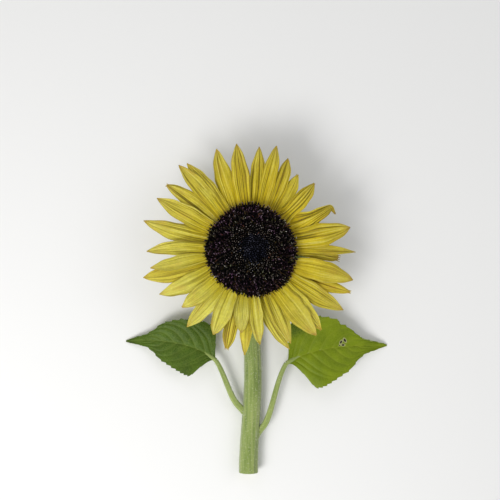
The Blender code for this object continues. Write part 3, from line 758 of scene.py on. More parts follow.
def lip_swell(bearing):
    """How much further out the edge of the disc is on a bearing than all round, as a share."""
    angle = math.radians(bearing)
    east = DISC_LIP_BUMP_RATE * math.sin(angle)
    north = DISC_LIP_BUMP_RATE * math.cos(angle)
    swell = DISC_LIP_BUMPS * noise.noise(Vector((north, east, DISC_LIP_BUMP_PLACE)))
    for order, (cosine, sine) in enumerate(DISC_LIP_WAVES, start=1):
        swell += (cosine * math.cos(order * angle) + sine * math.sin(order * angle)) * MM
    return swell / DISC_LIP_RADIUS


print("crown of the disc at", round(disc_height(0.0, DISC_RING_RADIUS) / MM, 1), "mm")

# %% A closed shape turned about the axis
def closed_turn(name, rings, sides, swell=lambda bearing: 0.0):
    """A closed mesh from rings of (radius, height rule), closed by a point at each end."""
    points = [Vector((0.0, 0.0, rings[0][1](0.0, 0.0)))]
    for radius, height in rings:
        for k in range(sides):
            bearing = 360.0 * k / sides
            spot = on_bearing(bearing, radius * (1.0 + swell(bearing)))
            points.append(Vector((spot.x, spot.y, height(spot.x, spot.y))))
    points.append(Vector((0.0, 0.0, rings[-1][1](0.0, 0.0))))
    faces = []
    for k in range(sides):
        n = (k + 1) % sides
        faces.append((0, 1 + n, 1 + k))
        for i in range(len(rings) - 1):
            a = 1 + i * sides
            faces.append((a + k, a + n, a + sides + n, a + sides + k))
        last = 1 + (len(rings) - 1) * sides
        faces.append((len(points) - 1, last + k, last + n))
    mesh = bpy.data.meshes.new(name)
    mesh.from_pydata(points, [], faces)
    return faced_outward(mesh)


print("turned shapes are closed by a point at each end")

# %% Build the dome under the florets
DOME_RINGS = 40
DOME_SIDES = 120
DISC_CORE_RADIUS = 37.3 * MM
DISC_LIP_Z = BOWL_TOP_Z + 6.0 * MM
DISC_LIP_ROUND = 0.4 * MM
DISC_FOOT_INSET = 0.6 * MM

foot_radius = DISC_CORE_RADIUS - DISC_FOOT_INSET
rings = [(DISC_LIP_RADIUS * (i + 1) / DOME_RINGS, dome_height) for i in range(DOME_RINGS)]
rings.append((DISC_LIP_RADIUS - DISC_LIP_ROUND, lambda x, y: DISC_LIP_Z))
rings.append((foot_radius, lambda x, y: DISC_LIP_Z))
rings.append((foot_radius, lambda x, y: BOWL_TOP_Z + GAP))
dome = closed_turn("dome", rings, DOME_SIDES, lip_swell)
rim_height = dome_height(0.0, DISC_LIP_RADIUS)
print("dome:", triangles(dome), "triangles, rim at", round(rim_height / MM, 1), "mm")

# %% [markdown]
# ### Shapes of the florets
#
# Each kind of floret is modelled once, small and simple, because it is repeated hundreds of
# times: a ten-sided tube whose top ring alternates near and far makes a five-pointed star, with
# the dark anther tube rising from its throat. The stigmas are two curls with three sides. A
# face mark, "tip", tells the node tree later which faces take the tip's colour.

# %% Shapes in millimetres
CURL_TURN = math.pi * 1.15
CURL_STRETCH = 1.5
CURL_TAPER = 0.5


def ring_shape(rings, sides):
    """Points and faces of a closed shape. A ring is (height, radius, height and radius of every
    other point)."""
    points = []
    for height, radius, low_height, low_radius in rings:
        for k in range(sides):
            angle = 2.0 * math.pi * k / sides
            r, z = (low_radius, low_height) if k % 2 else (radius, height)
            points.append((r * math.cos(angle), r * math.sin(angle), z))
    faces = [tuple(reversed(range(sides)))]
    for i in range(len(rings) - 1):
        for k in range(sides):
            n = (k + 1) % sides
            faces.append((i * sides + k, i * sides + n, (i + 1) * sides + n, (i + 1) * sides + k))
    faces.append(tuple((len(rings) - 1) * sides + k for k in range(sides)))
    return points, faces


def curl_shape(turn, foot, reach, thickness, segments):
    """A curl that rises from its foot and bends over outward, with three sides and a point."""
    def middle(angle):
        return Vector((reach * (1.0 - math.cos(angle)), 0.0,
                       foot + CURL_STRETCH * reach * math.sin(angle)))

    points, faces = [], []
    for i in range(segments):
        angle = CURL_TURN * i / segments
        radius = thickness * (1.0 - CURL_TAPER * i / segments)
        out = Vector((math.cos(angle), 0.0, -math.sin(angle)))
        for k in range(3):
            around = 2.0 * math.pi * k / 3.0
            points.append(middle(angle) + out * (radius * math.cos(around))
                          + Vector((0.0, radius * math.sin(around), 0.0)))
    points.append(middle(CURL_TURN))
    for i in range(segments - 1):
        for k in range(3):
            n = (k + 1) % 3
            faces.append((3 * i + k, 3 * i + n, 3 * i + 3 + n, 3 * i + 3 + k))
    last = 3 * (segments - 1)
    faces.extend((last + k, last + (k + 1) % 3, last + 3) for k in range(3))
    faces.append((2, 1, 0))
    spin = Matrix.Rotation(turn, 3, "Z")
    return [tuple(spin @ point) for point in points], faces


def shape_object(name, parts):
    """An object from shapes in millimetres; a shape's mark is 1 where it is the floret's tip."""
    points, faces, marks = [], [], []
    for shape_points, shape_faces, mark in parts:
        first = len(points)
        points.extend(Vector(point) * MM for point in shape_points)
        faces.extend(tuple(first + k for k in face) for face in shape_faces)
        marks.extend([mark] * len(shape_faces))
    mesh = bpy.data.meshes.new(name)
    mesh.from_pydata(points, [], faces)
    store_mark(mesh, "tip", marks, "FACE")
    return linked(name, mesh)


print("a curl turns over by", round(math.degrees(CURL_TURN)), "degrees")

# %% The kinds of floret
open_floret = shape_object("open_floret", [
    (*ring_shape([(0.5, 0.42, 0.5, 0.42), (2.35, 1.02, 1.85, 0.50), (1.9, 0.36, 1.9, 0.36),
                  (3.1, 0.27, 3.1, 0.27)], 10), 0.0),
    (*curl_shape(0.3, 2.9, 0.36, 0.13, 3), 1.0),
    (*curl_shape(0.3 + math.pi, 2.9, 0.36, 0.13, 3), 1.0)])
opening_floret = shape_object("opening_floret", [
    (*ring_shape([(0.4, 0.45, 0.4, 0.45), (1.5, 0.62, 1.5, 0.55), (2.1, 0.42, 1.9, 0.30)], 10), 0.0),
    (*ring_shape([(1.8, 0.24, 1.8, 0.24), (2.75, 0.26, 2.75, 0.26), (2.95, 0.08, 2.95, 0.08)], 5), 1.0)])
bud_floret = shape_object("bud_floret", [
    (*ring_shape([(0.2, 0.60, 0.2, 0.60), (1.15, 0.72, 1.15, 0.60), (1.75, 0.34, 1.75, 0.20)], 10), 0.0),
    (*ring_shape([(1.7, 0.2, 1.7, 0.12), (1.95, 0.05, 1.95, 0.05)], 10), 1.0)])
chaff_blade = shape_object("chaff_blade", [
    (*ring_shape([(0.2, 0.34, 0.2, 0.34), (1.9, 0.22, 1.9, 0.22), (3.2, 0.03, 3.2, 0.03)], 3), 0.0)])
for shape in (open_floret, opening_floret, bud_floret, chaff_blade):
    print(shape.name, triangles(shape.data), "triangles")

# %% [markdown]
# ### The spiral as a node tree
#
# Florets grow one after another, each turned by the golden angle from the last and pushed
# outward as more come, so floret number k sits at a radius near the square root of k. That one
# rule gives the crossing spirals of a sunflower. As a node tree it needs a line of points, the
# rule, a ray cast straight down to find the dome, and one shape put on each point. The tree
# ends in Realize Instances and Set Material, so the result is plain mesh.

# %% Node tree: florets in a spiral
GOLDEN_ANGLE = math.pi * (3.0 - math.sqrt(5.0))
CAST_FROM = 0.1
RIM_POWER = 4.0
SPIN_REACH = 3.14

spiral = bpy.data.node_groups.new("florets in a spiral", "GeometryNodeTree")
for name, kind in [("Dome", "Geometry"), ("Count", "Int"), ("Disc Radius", "Float"),
                   ("Middle", "Vector"), ("Crowding", "Float"), ("Half Step", "Float"),
                   ("From Radius", "Float"), ("To Radius", "Float"), ("Ragged", "Float"),
                   ("Shape", "Object"), ("Inner Size", "Float"), ("Outer Size", "Float"),
                   ("Size Chance", "Float"), ("Lean", "Float"), ("Tilt", "Float"), ("Seed", "Int"),
                   ("Body", "Material"), ("Tip", "Material")]:
    spiral.interface.new_socket(name, in_out="INPUT", socket_type="NodeSocket" + kind)
spiral.interface.new_socket("Florets", in_out="OUTPUT", socket_type="NodeSocketGeometry")

given = add(spiral, "NodeGroupInput").outputs
index = add(spiral, "GeometryNodeInputIndex")
line = add(spiral, "GeometryNodeMeshLine", {"Count": given["Count"], "Offset": (0.0, 0.0, 0.0)})
order = maths(spiral, "ADD", index, given["Half Step"])
later = maths(spiral, "ADD", order, 0.5)
share = maths(spiral, "DIVIDE", later, given["Count"])
spread = maths(spiral, "POWER", share, given["Crowding"])
radius = maths(spiral, "MULTIPLY", spread, given["Disc Radius"])
angle = maths(spiral, "MULTIPLY", order, GOLDEN_ANGLE)
cosine = maths(spiral, "COSINE", angle)
sine = maths(spiral, "SINE", angle)
outward = add(spiral, "ShaderNodeCombineXYZ", {"X": cosine, "Y": sine})
round_middle = add(spiral, "ShaderNodeVectorMath", {0: outward, "Scale": radius}, operation="SCALE")
inward = maths(spiral, "SUBTRACT", 1.0, spread)
aside = add(spiral, "ShaderNodeVectorMath", {0: given["Middle"], "Scale": inward}, operation="SCALE")
flat = vectors(spiral, "ADD", round_middle, aside)
above = vectors(spiral, "ADD", flat, (0.0, 0.0, CAST_FROM))
cast = add(spiral, "GeometryNodeRaycast", {"Target Geometry": given["Dome"], "Source Position": above,
           "Ray Direction": (0.0, 0.0, -1.0), "Ray Length": 1.0})
placed = add(spiral, "GeometryNodeSetPosition", {"Geometry": line,
             "Position": cast.outputs["Hit Position"]})

# a floret grows where its radius, made ragged, is inside the ring and the ray finds the dome
wander = add(spiral, "FunctionNodeRandomValue", {"Min": -1.0, "Seed": given["Seed"]})
ragged = maths(spiral, "MULTIPLY_ADD", wander, given["Ragged"], radius)
beyond = maths(spiral, "GREATER_THAN", ragged, given["From Radius"])
within = maths(spiral, "LESS_THAN", ragged, given["To Radius"])
between = maths(spiral, "MULTIPLY", beyond, within)
chosen = maths(spiral, "MULTIPLY", between, cast.outputs["Is Hit"])

print("spiral tree so far:", len(spiral.nodes), "nodes that place the florets")

# %% Node tree: how each floret stands
# it stands square on the dome, but leans outward more the further out it is, with some stray
near_rim = maths(spiral, "POWER", spread, RIM_POWER)
lean = maths(spiral, "MULTIPLY", near_rim, given["Lean"])
leaning = add(spiral, "ShaderNodeVectorMath", {0: outward, "Scale": lean}, operation="SCALE")
stray = add(spiral, "FunctionNodeRandomValue", {"Min": (-1.0, -1.0, -1.0), "Max": (1.0, 1.0, 1.0),
            "Seed": 11}, data_type="FLOAT_VECTOR")
swaying = add(spiral, "ShaderNodeVectorMath", {0: stray, "Scale": given["Tilt"]}, operation="SCALE")
swayed = vectors(spiral, "ADD", leaning, swaying)
facing = vectors(spiral, "ADD", cast.outputs["Hit Normal"], swayed)
upright = add(spiral, "FunctionNodeAlignRotationToVector", {"Vector": facing}, axis="Z")
spin = add(spiral, "FunctionNodeRandomValue", {"Min": (0.0, 0.0, -SPIN_REACH),
           "Max": (0.0, 0.0, SPIN_REACH), "Seed": 3}, data_type="FLOAT_VECTOR")
turned = add(spiral, "FunctionNodeRotateRotation", {"Rotation": upright, "Rotate By": spin},
             rotation_space="LOCAL")

# its size runs from the inner to the outer edge of its ring
reach = add(spiral, "ShaderNodeMapRange", {"Value": radius, "From Min": given["From Radius"],
            "From Max": given["To Radius"], "To Min": given["Inner Size"],
            "To Max": given["Outer Size"]})
chance = add(spiral, "FunctionNodeRandomValue", {"Min": -1.0, "Seed": 7})
factor = maths(spiral, "MULTIPLY_ADD", chance, given["Size Chance"], 1.0)
size = maths(spiral, "MULTIPLY", reach, factor)
shape = add(spiral, "GeometryNodeObjectInfo", {"Object": given["Shape"]})
copies = add(spiral, "GeometryNodeInstanceOnPoints", {"Points": placed, "Selection": chosen,
             "Instance": shape.outputs["Geometry"], "Rotation": turned, "Scale": size})
own = add(spiral, "FunctionNodeRandomValue", {"Seed": 17})
marked = add(spiral, "GeometryNodeStoreNamedAttribute", {"Geometry": copies, "Name": "own",
             "Value": own}, data_type="FLOAT", domain="INSTANCE")
real = add(spiral, "GeometryNodeRealizeInstances", {"Geometry": marked})
is_tip = add(spiral, "GeometryNodeInputNamedAttribute", {"Name": "tip"}, data_type="FLOAT")
bodies = add(spiral, "GeometryNodeSetMaterial", {"Geometry": real, "Material": given["Body"]})
tips = add(spiral, "GeometryNodeSetMaterial", {"Geometry": bodies, "Selection": is_tip,
           "Material": given["Tip"]})
add(spiral, "NodeGroupOutput", {"Florets": tips})
print("spiral tree:", len(spiral.nodes), "nodes")

# %% [markdown]
# ### Near-black finishes
#
# The florets of this disc are aubergine so dark that they read as black, and only their
# highlights tell them apart: the corollas are waxy, the buds in the middle have a blue bloom
# like a plum's, and the tips that have just opened are dusted with tan pollen. Florets this
# small take a plain colour each. A finish is a row of colours, and each floret's own number,
# "own", picks one of them, so that a few pale ones stand among many dark ones; the palest
# stigmas, near white, are painted glints. The dome between the florets is painted black, as the
# shade deep in the gaps between them. Over a centimetre or so the black leans to olive or to
# purple, which a soft noise on Object coordinates multiplies in.

# %% Disc finishes
CLOUD_SCALE = 0.075 / MM
OLIVE_TO_PURPLE = [(0.38, "#ECFFCA"), (0.50, "#FFFCF8"), (0.62, "#FFDAFF")]
SLATE = [(0.40, "#D0D8E8"), (0.60, "#FFFFFF")]


def floret_finish(name, stops, casts, values):
    """A row of colours that each floret picks from by its own number, under a soft cast."""
    material, tree, shader = new_material(name, values)
    own = add(tree, "ShaderNodeAttribute", attribute_name="own").outputs["Fac"]
    body = add(tree, "ShaderNodeValToRGB", {"Fac": own}, stops)
    place = add(tree, "ShaderNodeTexCoord").outputs["Object"]
    cloud = add(tree, "ShaderNodeTexNoise", {"Vector": place, "Scale": CLOUD_SCALE, "Detail": 2.0})
    cast = add(tree, "ShaderNodeValToRGB", {"Fac": cloud.outputs["Fac"]}, casts)
    final = add(tree, "ShaderNodeMix", {"Factor": 1.0, "A": body, "B": cast}, data_type="RGBA",
                blend_type="MULTIPLY")
    fill(tree, shader, {"Base Color": final})
    return material


WAXY = {"Roughness": 0.45, "Specular IOR Level": 0.16}
DUSTY = {"Roughness": 0.90, "Specular IOR Level": 0.06}
# the dome only shows in the gaps between florets, so it is painted black as the shade deep in them
dome_painted_shade_black = floret_finish("dome between florets, black", [(0.0, "#040404"), (1.0, "#070506")],
                          SLATE, DUSTY)
corolla = floret_finish("open corolla, aubergine wax",
                        [(0.0, "#020102"), (0.5, "#0C080B"), (0.8, "#20131C"), (1.0, "#2E2A20")],
                        OLIVE_TO_PURPLE, WAXY)
# the palest colours of the stigmas, near white, are painted glints
stigma_with_painted_glints = floret_finish("stigma, maroon to pale lilac",
                       [(0.0, "#140D11"), (0.35, "#523A46"), (0.55, "#686250"), (0.75, "#9C8294"),
                        (0.9, "#B4A8AC"), (1.0, "#EAE2E4")], OLIVE_TO_PURPLE, DUSTY)
ring_corolla = floret_finish("opening corolla, brown black",
                             [(0.0, "#030302"), (0.6, "#14100D"), (1.0, "#2C251E")],
                             OLIVE_TO_PURPLE, WAXY)
pollen = floret_finish("anther tip, tan pollen",
                       [(0.0, "#2C2620"), (0.4, "#6A6054"), (0.8, "#9C9084"), (1.0, "#D0C8BC")],
                       SLATE, DUSTY)
bud_skin = floret_finish("bud, blue black bloom",
                         [(0.0, "#040407"), (0.6, "#1C1C26"), (1.0, "#363642")], SLATE, WAXY)
bud_tip = floret_finish("bud tip, slate grey",
                        [(0.0, "#101014"), (0.6, "#50505C"), (1.0, "#A8A8B4")], SLATE, WAXY)
chaff = floret_finish("chaff, brown black to olive",
                      [(0.0, "#040302"), (0.5, "#2A1C14"), (0.8, "#4A4420"), (1.0, "#7A5640")],
                      OLIVE_TO_PURPLE, DUSTY)
disc_finishes = (dome_painted_shade_black, corolla, stigma_with_painted_glints, ring_corolla, pollen, bud_skin, bud_tip, chaff)
print("disc finishes:", ", ".join(material.name.split(",")[0] for material in disc_finishes))

# %% Grow the disc
FLORETS = 1400
CROWDING = 0.54
BUD_RADIUS = 12.5 * MM
OPENING_RADIUS = 21.5 * MM

spiral_values = {"Count": FLORETS, "Disc Radius": DISC_RADIUS, "Middle": DISC_MIDDLE,
                 "Crowding": CROWDING, "Seed": 5, "Half Step": 0.0, "Ragged": 2.4 * MM,
                 "Size Chance": 0.18}
kinds = {
    "disc_buds": {"From Radius": -1.0, "To Radius": BUD_RADIUS, "Shape": bud_floret,
                  "Inner Size": 0.85, "Outer Size": 1.0, "Lean": 0.0, "Tilt": 0.25,
                  "Body": bud_skin, "Tip": bud_tip},
    "disc_opening_florets": {"From Radius": BUD_RADIUS, "To Radius": OPENING_RADIUS,
                             "Shape": opening_floret, "Inner Size": 0.95, "Outer Size": 1.05,
                             "Lean": 0.1, "Tilt": 0.22, "Body": ring_corolla, "Tip": pollen},
    "disc_open_florets": {"From Radius": OPENING_RADIUS, "To Radius": DISC_RADIUS, "Shape": open_floret,
                          "Inner Size": 1.0, "Outer Size": 0.95, "Lean": 0.9, "Tilt": 0.34,
                          "Body": corolla, "Tip": stigma_with_painted_glints},
    "disc_chaff": {"From Radius": BUD_RADIUS, "To Radius": DISC_RADIUS + 1.0 * MM, "Half Step": 0.5,
                   "Shape": chaff_blade, "Inner Size": 0.75, "Outer Size": 1.15, "Lean": 1.5,
                   "Tilt": 0.60, "Size Chance": 0.65, "Body": chaff, "Tip": chaff},
}
for name, values in kinds.items():
    florets = applied(dome, (spiral, {**spiral_values, **values}))
    print(name, triangles(florets), "triangles")
    finished(name, florets, "disc_florets")
for shape in (open_floret, opening_floret, bud_floret, chaff_blade):
    bpy.data.objects.remove(shape)
dome.materials.append(dome_painted_shade_black)
finished("disc_dome", dome, "disc_florets", "disc")

# %% [markdown]
# ## Receptacle
#
# Under the disc sits the receptacle, a shallow fleshy bowl. Only its underside shows, between
# the bracts, so turning its profile about the axis is all it needs, with faint ribs where the
# bracts' veins run up from the stem.

# %% Underside of the bowl
BOWL_RISE = 13.0 * MM
BOWL_POWER = 2.6
BOWL_RIBS = 20
BOWL_RIB = 0.35 * MM


def bowl_under(radius):
    """Height of the underside of the bowl at a distance from the axis."""
    return BOWL_BACK_Z + BOWL_RISE * (radius / BOWL_RADIUS) ** BOWL_POWER


def ribbed_under(x, y):
    """The same height, with the faint ribs that run up from the stem."""
    radius = math.hypot(x, y)
    rib = 0.5 + 0.5 * math.cos(BOWL_RIBS * math.atan2(x, y))
    return bowl_under(radius) + BOWL_RIB * rib * smooth(radius / BOWL_RADIUS)


print("the bowl's back is at", round(bowl_under(0.0) / MM, 1), "mm")

# %% Downy green skin
FLECKS_PER_GRAIN = 9.0


def green_finish(name, low_code, high_code, fleck, grain, values):
    """Soft green skin: cloudy from one green to another, with small flecks."""
    material, tree, shader = new_material(name, values)
    place = add(tree, "ShaderNodeTexCoord").outputs["Object"]
    cloud = add(tree, "ShaderNodeTexNoise", {"Vector": place, "Scale": 1.0 / grain, "Detail": 5.0})
    body = add(tree, "ShaderNodeValToRGB", {"Fac": cloud.outputs["Fac"]},
               [(0.35, low_code), (0.65, high_code)])
    flecks = add(tree, "ShaderNodeTexNoise", {"Vector": place, "Scale": FLECKS_PER_GRAIN / grain,
                 "Detail": 2.0}).outputs["Fac"]
    few = add(tree, "ShaderNodeMapRange", {"Value": flecks, "From Min": 0.55, "From Max": 0.72,
              "To Max": 0.5})
    final = mixed(tree, few, body, colour(fleck))
    relief = add(tree, "ShaderNodeBump", {"Height": flecks, "Strength": 0.4, "Distance": 0.15 * MM})
    fill(tree, shader, {"Base Color": final, "Normal": relief})
    return material


# fleshy and matt, with a short down that scatters light at its edges
DOWNY = {"Roughness": 0.75, "Specular IOR Level": 0.25, "Sheen Weight": 0.3, "Sheen Roughness": 0.6}
bowl_green = green_finish("receptacle skin, downy green", "#6E7A34", "#8E9A4C", "#A9B56A",
                          6.0 * MM, DOWNY)
print("finish:", bowl_green.name)

# %% Receptacle
BOWL_STEPS = 22
BOWL_SIDES = 120

rings = [(BOWL_RADIUS * (i + 1) / BOWL_STEPS, ribbed_under) for i in range(BOWL_STEPS)]
rings.append((BOWL_RADIUS, lambda x, y: BOWL_TOP_Z))
bowl = closed_turn("bowl", rings, BOWL_SIDES)
bowl.materials.append(bowl_green)
finished("receptacle_skin", bowl, "bract_green", "receptacle")
print("receptacle:", triangles(bowl), "triangles")

# %% [markdown]
# ## Bracts
#
# Two rows of pointed green bracts wrap the back of the head: eight short ones against the bowl
# and twelve long ones outside them, which bend back as the bloom opens. A bract is a leaf in
# all but name, so it is made as one: rows of points along a path in the plane of radius and
# height, a raised midrib with two side nerves, and edges that cup toward the bowl.

# %% Bract paths
# a bract hugs the bowl out to its rim, then leans on in the same direction and bends to its tip
BRACT_RIM_RADIUS = 37.5 * MM
BRACT_CEILING_Z = RAY_BASE_Z - 2.6 * MM
BRACT_HUGGING = 14
BRACT_FREE = 20
BRACT_LEAN = 0.38
BRACT_SPREAD = 0.16


def bowl_point(radius, offset):
    """Point in the (radius, height) plane that lies off the underside of the bowl."""
    slope = BOWL_RISE * BOWL_POWER / BOWL_RADIUS * (radius / BOWL_RADIUS) ** (BOWL_POWER - 1.0)
    length = math.hypot(1.0, slope)
    return Vector((radius + offset * slope / length, bowl_under(radius) - offset / length))


def bract_path(start, offset, tip):
    """Line of a bract in the (radius, height) plane: along the bowl, then out to its tip."""
    path = []
    for i in range(BRACT_HUGGING):
        radius = start + (BRACT_RIM_RADIUS - start) * i / (BRACT_HUGGING - 1)
        path.append(bowl_point(radius, offset))
    rim = path[-1]
    lean = (rim - path[-4]).normalized()  # over the last three steps along the bowl
    reach = (tip - rim).length
    rise = min(BRACT_LEAN * reach, BRACT_CEILING_Z - rim.y)
    bend = rim + lean * rise + Vector((BRACT_SPREAD * reach, 0.0))
    path.extend(arc(rim, bend, tip, i / BRACT_FREE) for i in range(1, BRACT_FREE + 1))
    return path


print("a bract's path has", BRACT_HUGGING + BRACT_FREE, "points")

# %% The sheet of a bract
BRACT_COLUMNS = 13
BRACT_FOOT_SHARE = 0.34
BRACT_WIDENING = 1.9
BRACT_TAPER_FROM = 0.3
BRACT_TAPER_POWER = 1.15
BRACT_TIP = 0.25 * MM
BRACT_CUP = 0.6 * MM
# it is cupped and nerved in full where its half width is this share of the whole width
BRACT_FULL_SHARE = 0.25
# a midrib and two fainter nerves halfway to the edges, all as shares of the half width
BRACT_NERVE = 0.22 * MM
NERVE_HALF_WIDTH = 0.10
SIDE_NERVE = 0.5
SIDE_NERVE_PLACE = 0.5
# its edges wave in and out, and are downy from a little way above the foot
BRACT_WAVE = 0.06
BRACT_WAVE_RATE = 14.0
DOWN_FROM = 0.12


def bract_sheet(bearing, path, width, seed):
    """The inner face of a bract on its bearing, as a sheet of one layer."""
    chance = random.Random(seed)
    phase = chance.uniform(0.0, 2.0 * math.pi)
    length = [0.0]
    for i in range(1, len(path)):
        length.append(length[-1] + (path[i] - path[i - 1]).length)
    rows, uvs, edges = [], [], []
    for i in range(len(path)):
        along = length[i] / length[-1]
        swell = min(1.0, BRACT_FOOT_SHARE + BRACT_WIDENING * along)
        taper = 1.0 - max(0.0, along - BRACT_TAPER_FROM) / (1.0 - BRACT_TAPER_FROM)
        half = max(0.5 * width * swell * taper ** BRACT_TAPER_POWER, BRACT_TIP)
        free = smooth((i - BRACT_HUGGING) / BRACT_FREE * 2.0)
        fullness = min(1.0, half / (BRACT_FULL_SHARE * width))
        points, pairs, marks = [], [], []
        for j in range(BRACT_COLUMNS):
            u = 2.0 * j / (BRACT_COLUMNS - 1) - 1.0
            wave = 1.0 + BRACT_WAVE * free * math.sin(BRACT_WAVE_RATE * along + phase + 2.0 * u)
            turn = math.degrees(half * wave * u / path[i].x)
            midrib = math.exp(-(u / NERVE_HALF_WIDTH) ** 2)
            beside = math.exp(-((abs(u) - SIDE_NERVE_PLACE) / NERVE_HALF_WIDTH) ** 2)
            nerve = midrib + SIDE_NERVE * beside
            lift = fullness * (free * BRACT_CUP * u * u - BRACT_NERVE * nerve)
            height = Vector((0.0, 0.0, path[i].y + lift))
            points.append(on_bearing(bearing + turn, path[i].x) + height)
            pairs.append((0.5 * (u + 1.0), along))
            marks.append(abs(u) ** 3 if along > DOWN_FROM else 0.0)
        rows.append(points)
        uvs.append(pairs)
        edges.append(marks)
    return sheet("bract", rows, uvs, {"downy": edges})


print("a bract's sheet is", BRACT_HUGGING + BRACT_FREE, "by", BRACT_COLUMNS, "points")

# %% [markdown]
# The nerves of a bract run from end to end, so their colour follows the UV map across the
# strap. The tip dries first and turns paler.

# %% Bract finish
def nerved_finish(name, stops, nerve, values):
    """Downy green from foot to tip, with faint lines along it and a cloudy brightness."""
    material, tree, shader = new_material(name, values)
    place = add(tree, "ShaderNodeUVMap", uv_map="map")
    parts = add(tree, "ShaderNodeSeparateXYZ", {0: place})
    body = add(tree, "ShaderNodeValToRGB", {"Fac": parts.outputs["Y"]}, stops)
    drawn = add(tree, "ShaderNodeMapping", {"Vector": place, "Scale": (1.0, 0.08, 1.0)})
    lines = add(tree, "ShaderNodeTexWave", {"Vector": drawn, "Scale": 2.9, "Distortion": 0.8,
                "Detail": 2.0}, bands_direction="X").outputs["Fac"]
    faint = add(tree, "ShaderNodeMapRange", {"Value": lines, "From Min": 0.6, "To Max": 0.4})
    veined = mixed(tree, faint, body, colour(nerve))
    world_place = add(tree, "ShaderNodeTexCoord").outputs["Object"]
    cloud = add(tree, "ShaderNodeTexNoise", {"Vector": world_place, "Scale": 0.35 / MM,
                "Detail": 3.0}).outputs["Fac"]
    bright = add(tree, "ShaderNodeMapRange", {"Value": cloud, "From Min": 0.3, "From Max": 0.7,
                 "To Min": 0.88, "To Max": 1.12})
    final = add(tree, "ShaderNodeHueSaturation", {"Value": bright, "Color": veined})
    relief = add(tree, "ShaderNodeBump", {"Height": cloud, "Strength": 0.5, "Distance": 0.2 * MM})
    fill(tree, shader, {"Base Color": final, "Normal": relief})
    return material


bract_green = nerved_finish("bract, downy green", [(0.0, "#76853A"), (0.55, "#82924A"),
                            (0.9, "#9AA65C"), (1.0, "#B3A96C")], "#A5B26E", DOWNY)
print("finish:", bract_green.name)

# %% Build the bracts
BRACT_SHEET = 0.6 * MM
BRACT_SEED = 500
INNER_BRACTS = 8
INNER_BRACT_WIDTH = 19.0 * MM
INNER_BRACT_START = 19.0 * MM
INNER_BRACT_OFFSET = 0.35 * MM
INNER_BRACT_TIP = Vector((57.0 * MM, RAY_BASE_Z - 2.2 * MM))
INNER_BRACT_BEARING = 22.5
OUTER_BRACT_WIDTH = 15.5 * MM
OUTER_BRACT_START = 13.0 * MM
OUTER_BRACT_OFFSET = 1.65 * MM
OUTER_BRACT_BEARING = 10.0
# reach and height of the tip of each outer bract in millimetres, clockwise from the first
OUTER_BRACT_TIPS = [
    (60.0, 0.35), (63.0, 16.0), (61.0, 0.35), (64.0, 13.0), (60.0, 19.0), (66.0, 25.0),
    (78.0, 27.0), (62.0, 20.0), (63.0, 12.0), (61.0, 0.35), (64.0, 17.0), (60.0, 0.35),
]

bract_layout = []
inner_path = bract_path(INNER_BRACT_START, INNER_BRACT_OFFSET, INNER_BRACT_TIP)
for k in range(INNER_BRACTS):
    bearing = INNER_BRACT_BEARING + 360.0 * k / INNER_BRACTS
    bract_layout.append(("inner_%d" % (k + 1), bearing, inner_path, INNER_BRACT_WIDTH))
for k, (reach, height) in enumerate(OUTER_BRACT_TIPS):
    bearing = OUTER_BRACT_BEARING + 360.0 * k / len(OUTER_BRACT_TIPS)
    path = bract_path(OUTER_BRACT_START, OUTER_BRACT_OFFSET, Vector((reach * MM, height * MM)))
    bract_layout.append(("outer_%02d" % (k + 1), bearing, path, OUTER_BRACT_WIDTH))

downy_hosts = []
for k, (name, bearing, path, width) in enumerate(bract_layout):
    face = bract_sheet(bearing, path, width, BRACT_SEED + k)
    face.materials.append(bract_green)
    bract = applied(face, ("SOLIDIFY", {"thickness": BRACT_SHEET, "offset": -1.0}))
    downy_hosts.append(bract.copy())
    finished("phyllary_" + name, bract, "bract_green", "bract_" + name)
print("bracts:", len(bract_layout), "of", triangles(bract), "triangles")

# %% [markdown]
# ## Stem and neck
#
# A cut stem is one thing from its cut end to the head, so one tube takes the place of both the
# stem's and the neck's solid. Its skin has shallow flutes over the bundles that carry its water,
# and it is rough with bristles. The tube is drawn ring by ring along a centre line: straight
# with a slight bow, then a quarter bend up into the bowl.

# %% Stem path
STEM_CUT_RADIUS = 8.6 * MM
STEM_TOP_RADIUS = 7.2 * MM
STEM_CUT_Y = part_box("stem")[0].y - HEAD.y
STEM_BOW = 4.0 * MM
NECK_BEND_RADIUS = 22.0 * MM
NECK_TOP_RADIUS = 9.6 * MM
NECK_FLARE_POWER = 2.5
STEM_STEPS = 90
NECK_STEPS = 30


def stem_stations():
    """Centre, up direction and radius of each ring, from the cut end to the head."""
    stations = []
    top_y = -NECK_BEND_RADIUS - GAP
    for i in range(STEM_STEPS):
        along = 1.0 - i / (STEM_STEPS - 1)
        radius = STEM_TOP_RADIUS + (STEM_CUT_RADIUS - STEM_TOP_RADIUS) * along
        bow = STEM_BOW * 0.5 * (1.0 - math.cos(2.0 * math.pi * along))
        stations.append((Vector((bow, top_y + (STEM_CUT_Y - top_y) * along, radius)), UP, radius))
    for i in range(1, NECK_STEPS):
        along = i / (NECK_STEPS - 1)
        angle = 0.5 * math.pi * along
        centre = Vector((0.0, -NECK_BEND_RADIUS * (1.0 - math.sin(angle)),
                         STEM_TOP_RADIUS + NECK_BEND_RADIUS * (1.0 - math.cos(angle))))
        radius = STEM_TOP_RADIUS + (NECK_TOP_RADIUS - STEM_TOP_RADIUS) * along ** NECK_FLARE_POWER
        stations.append((centre, Vector((0.0, -math.sin(angle), math.cos(angle))), radius))
    return stations


print("stem and neck:", len(stem_stations()), "rings")

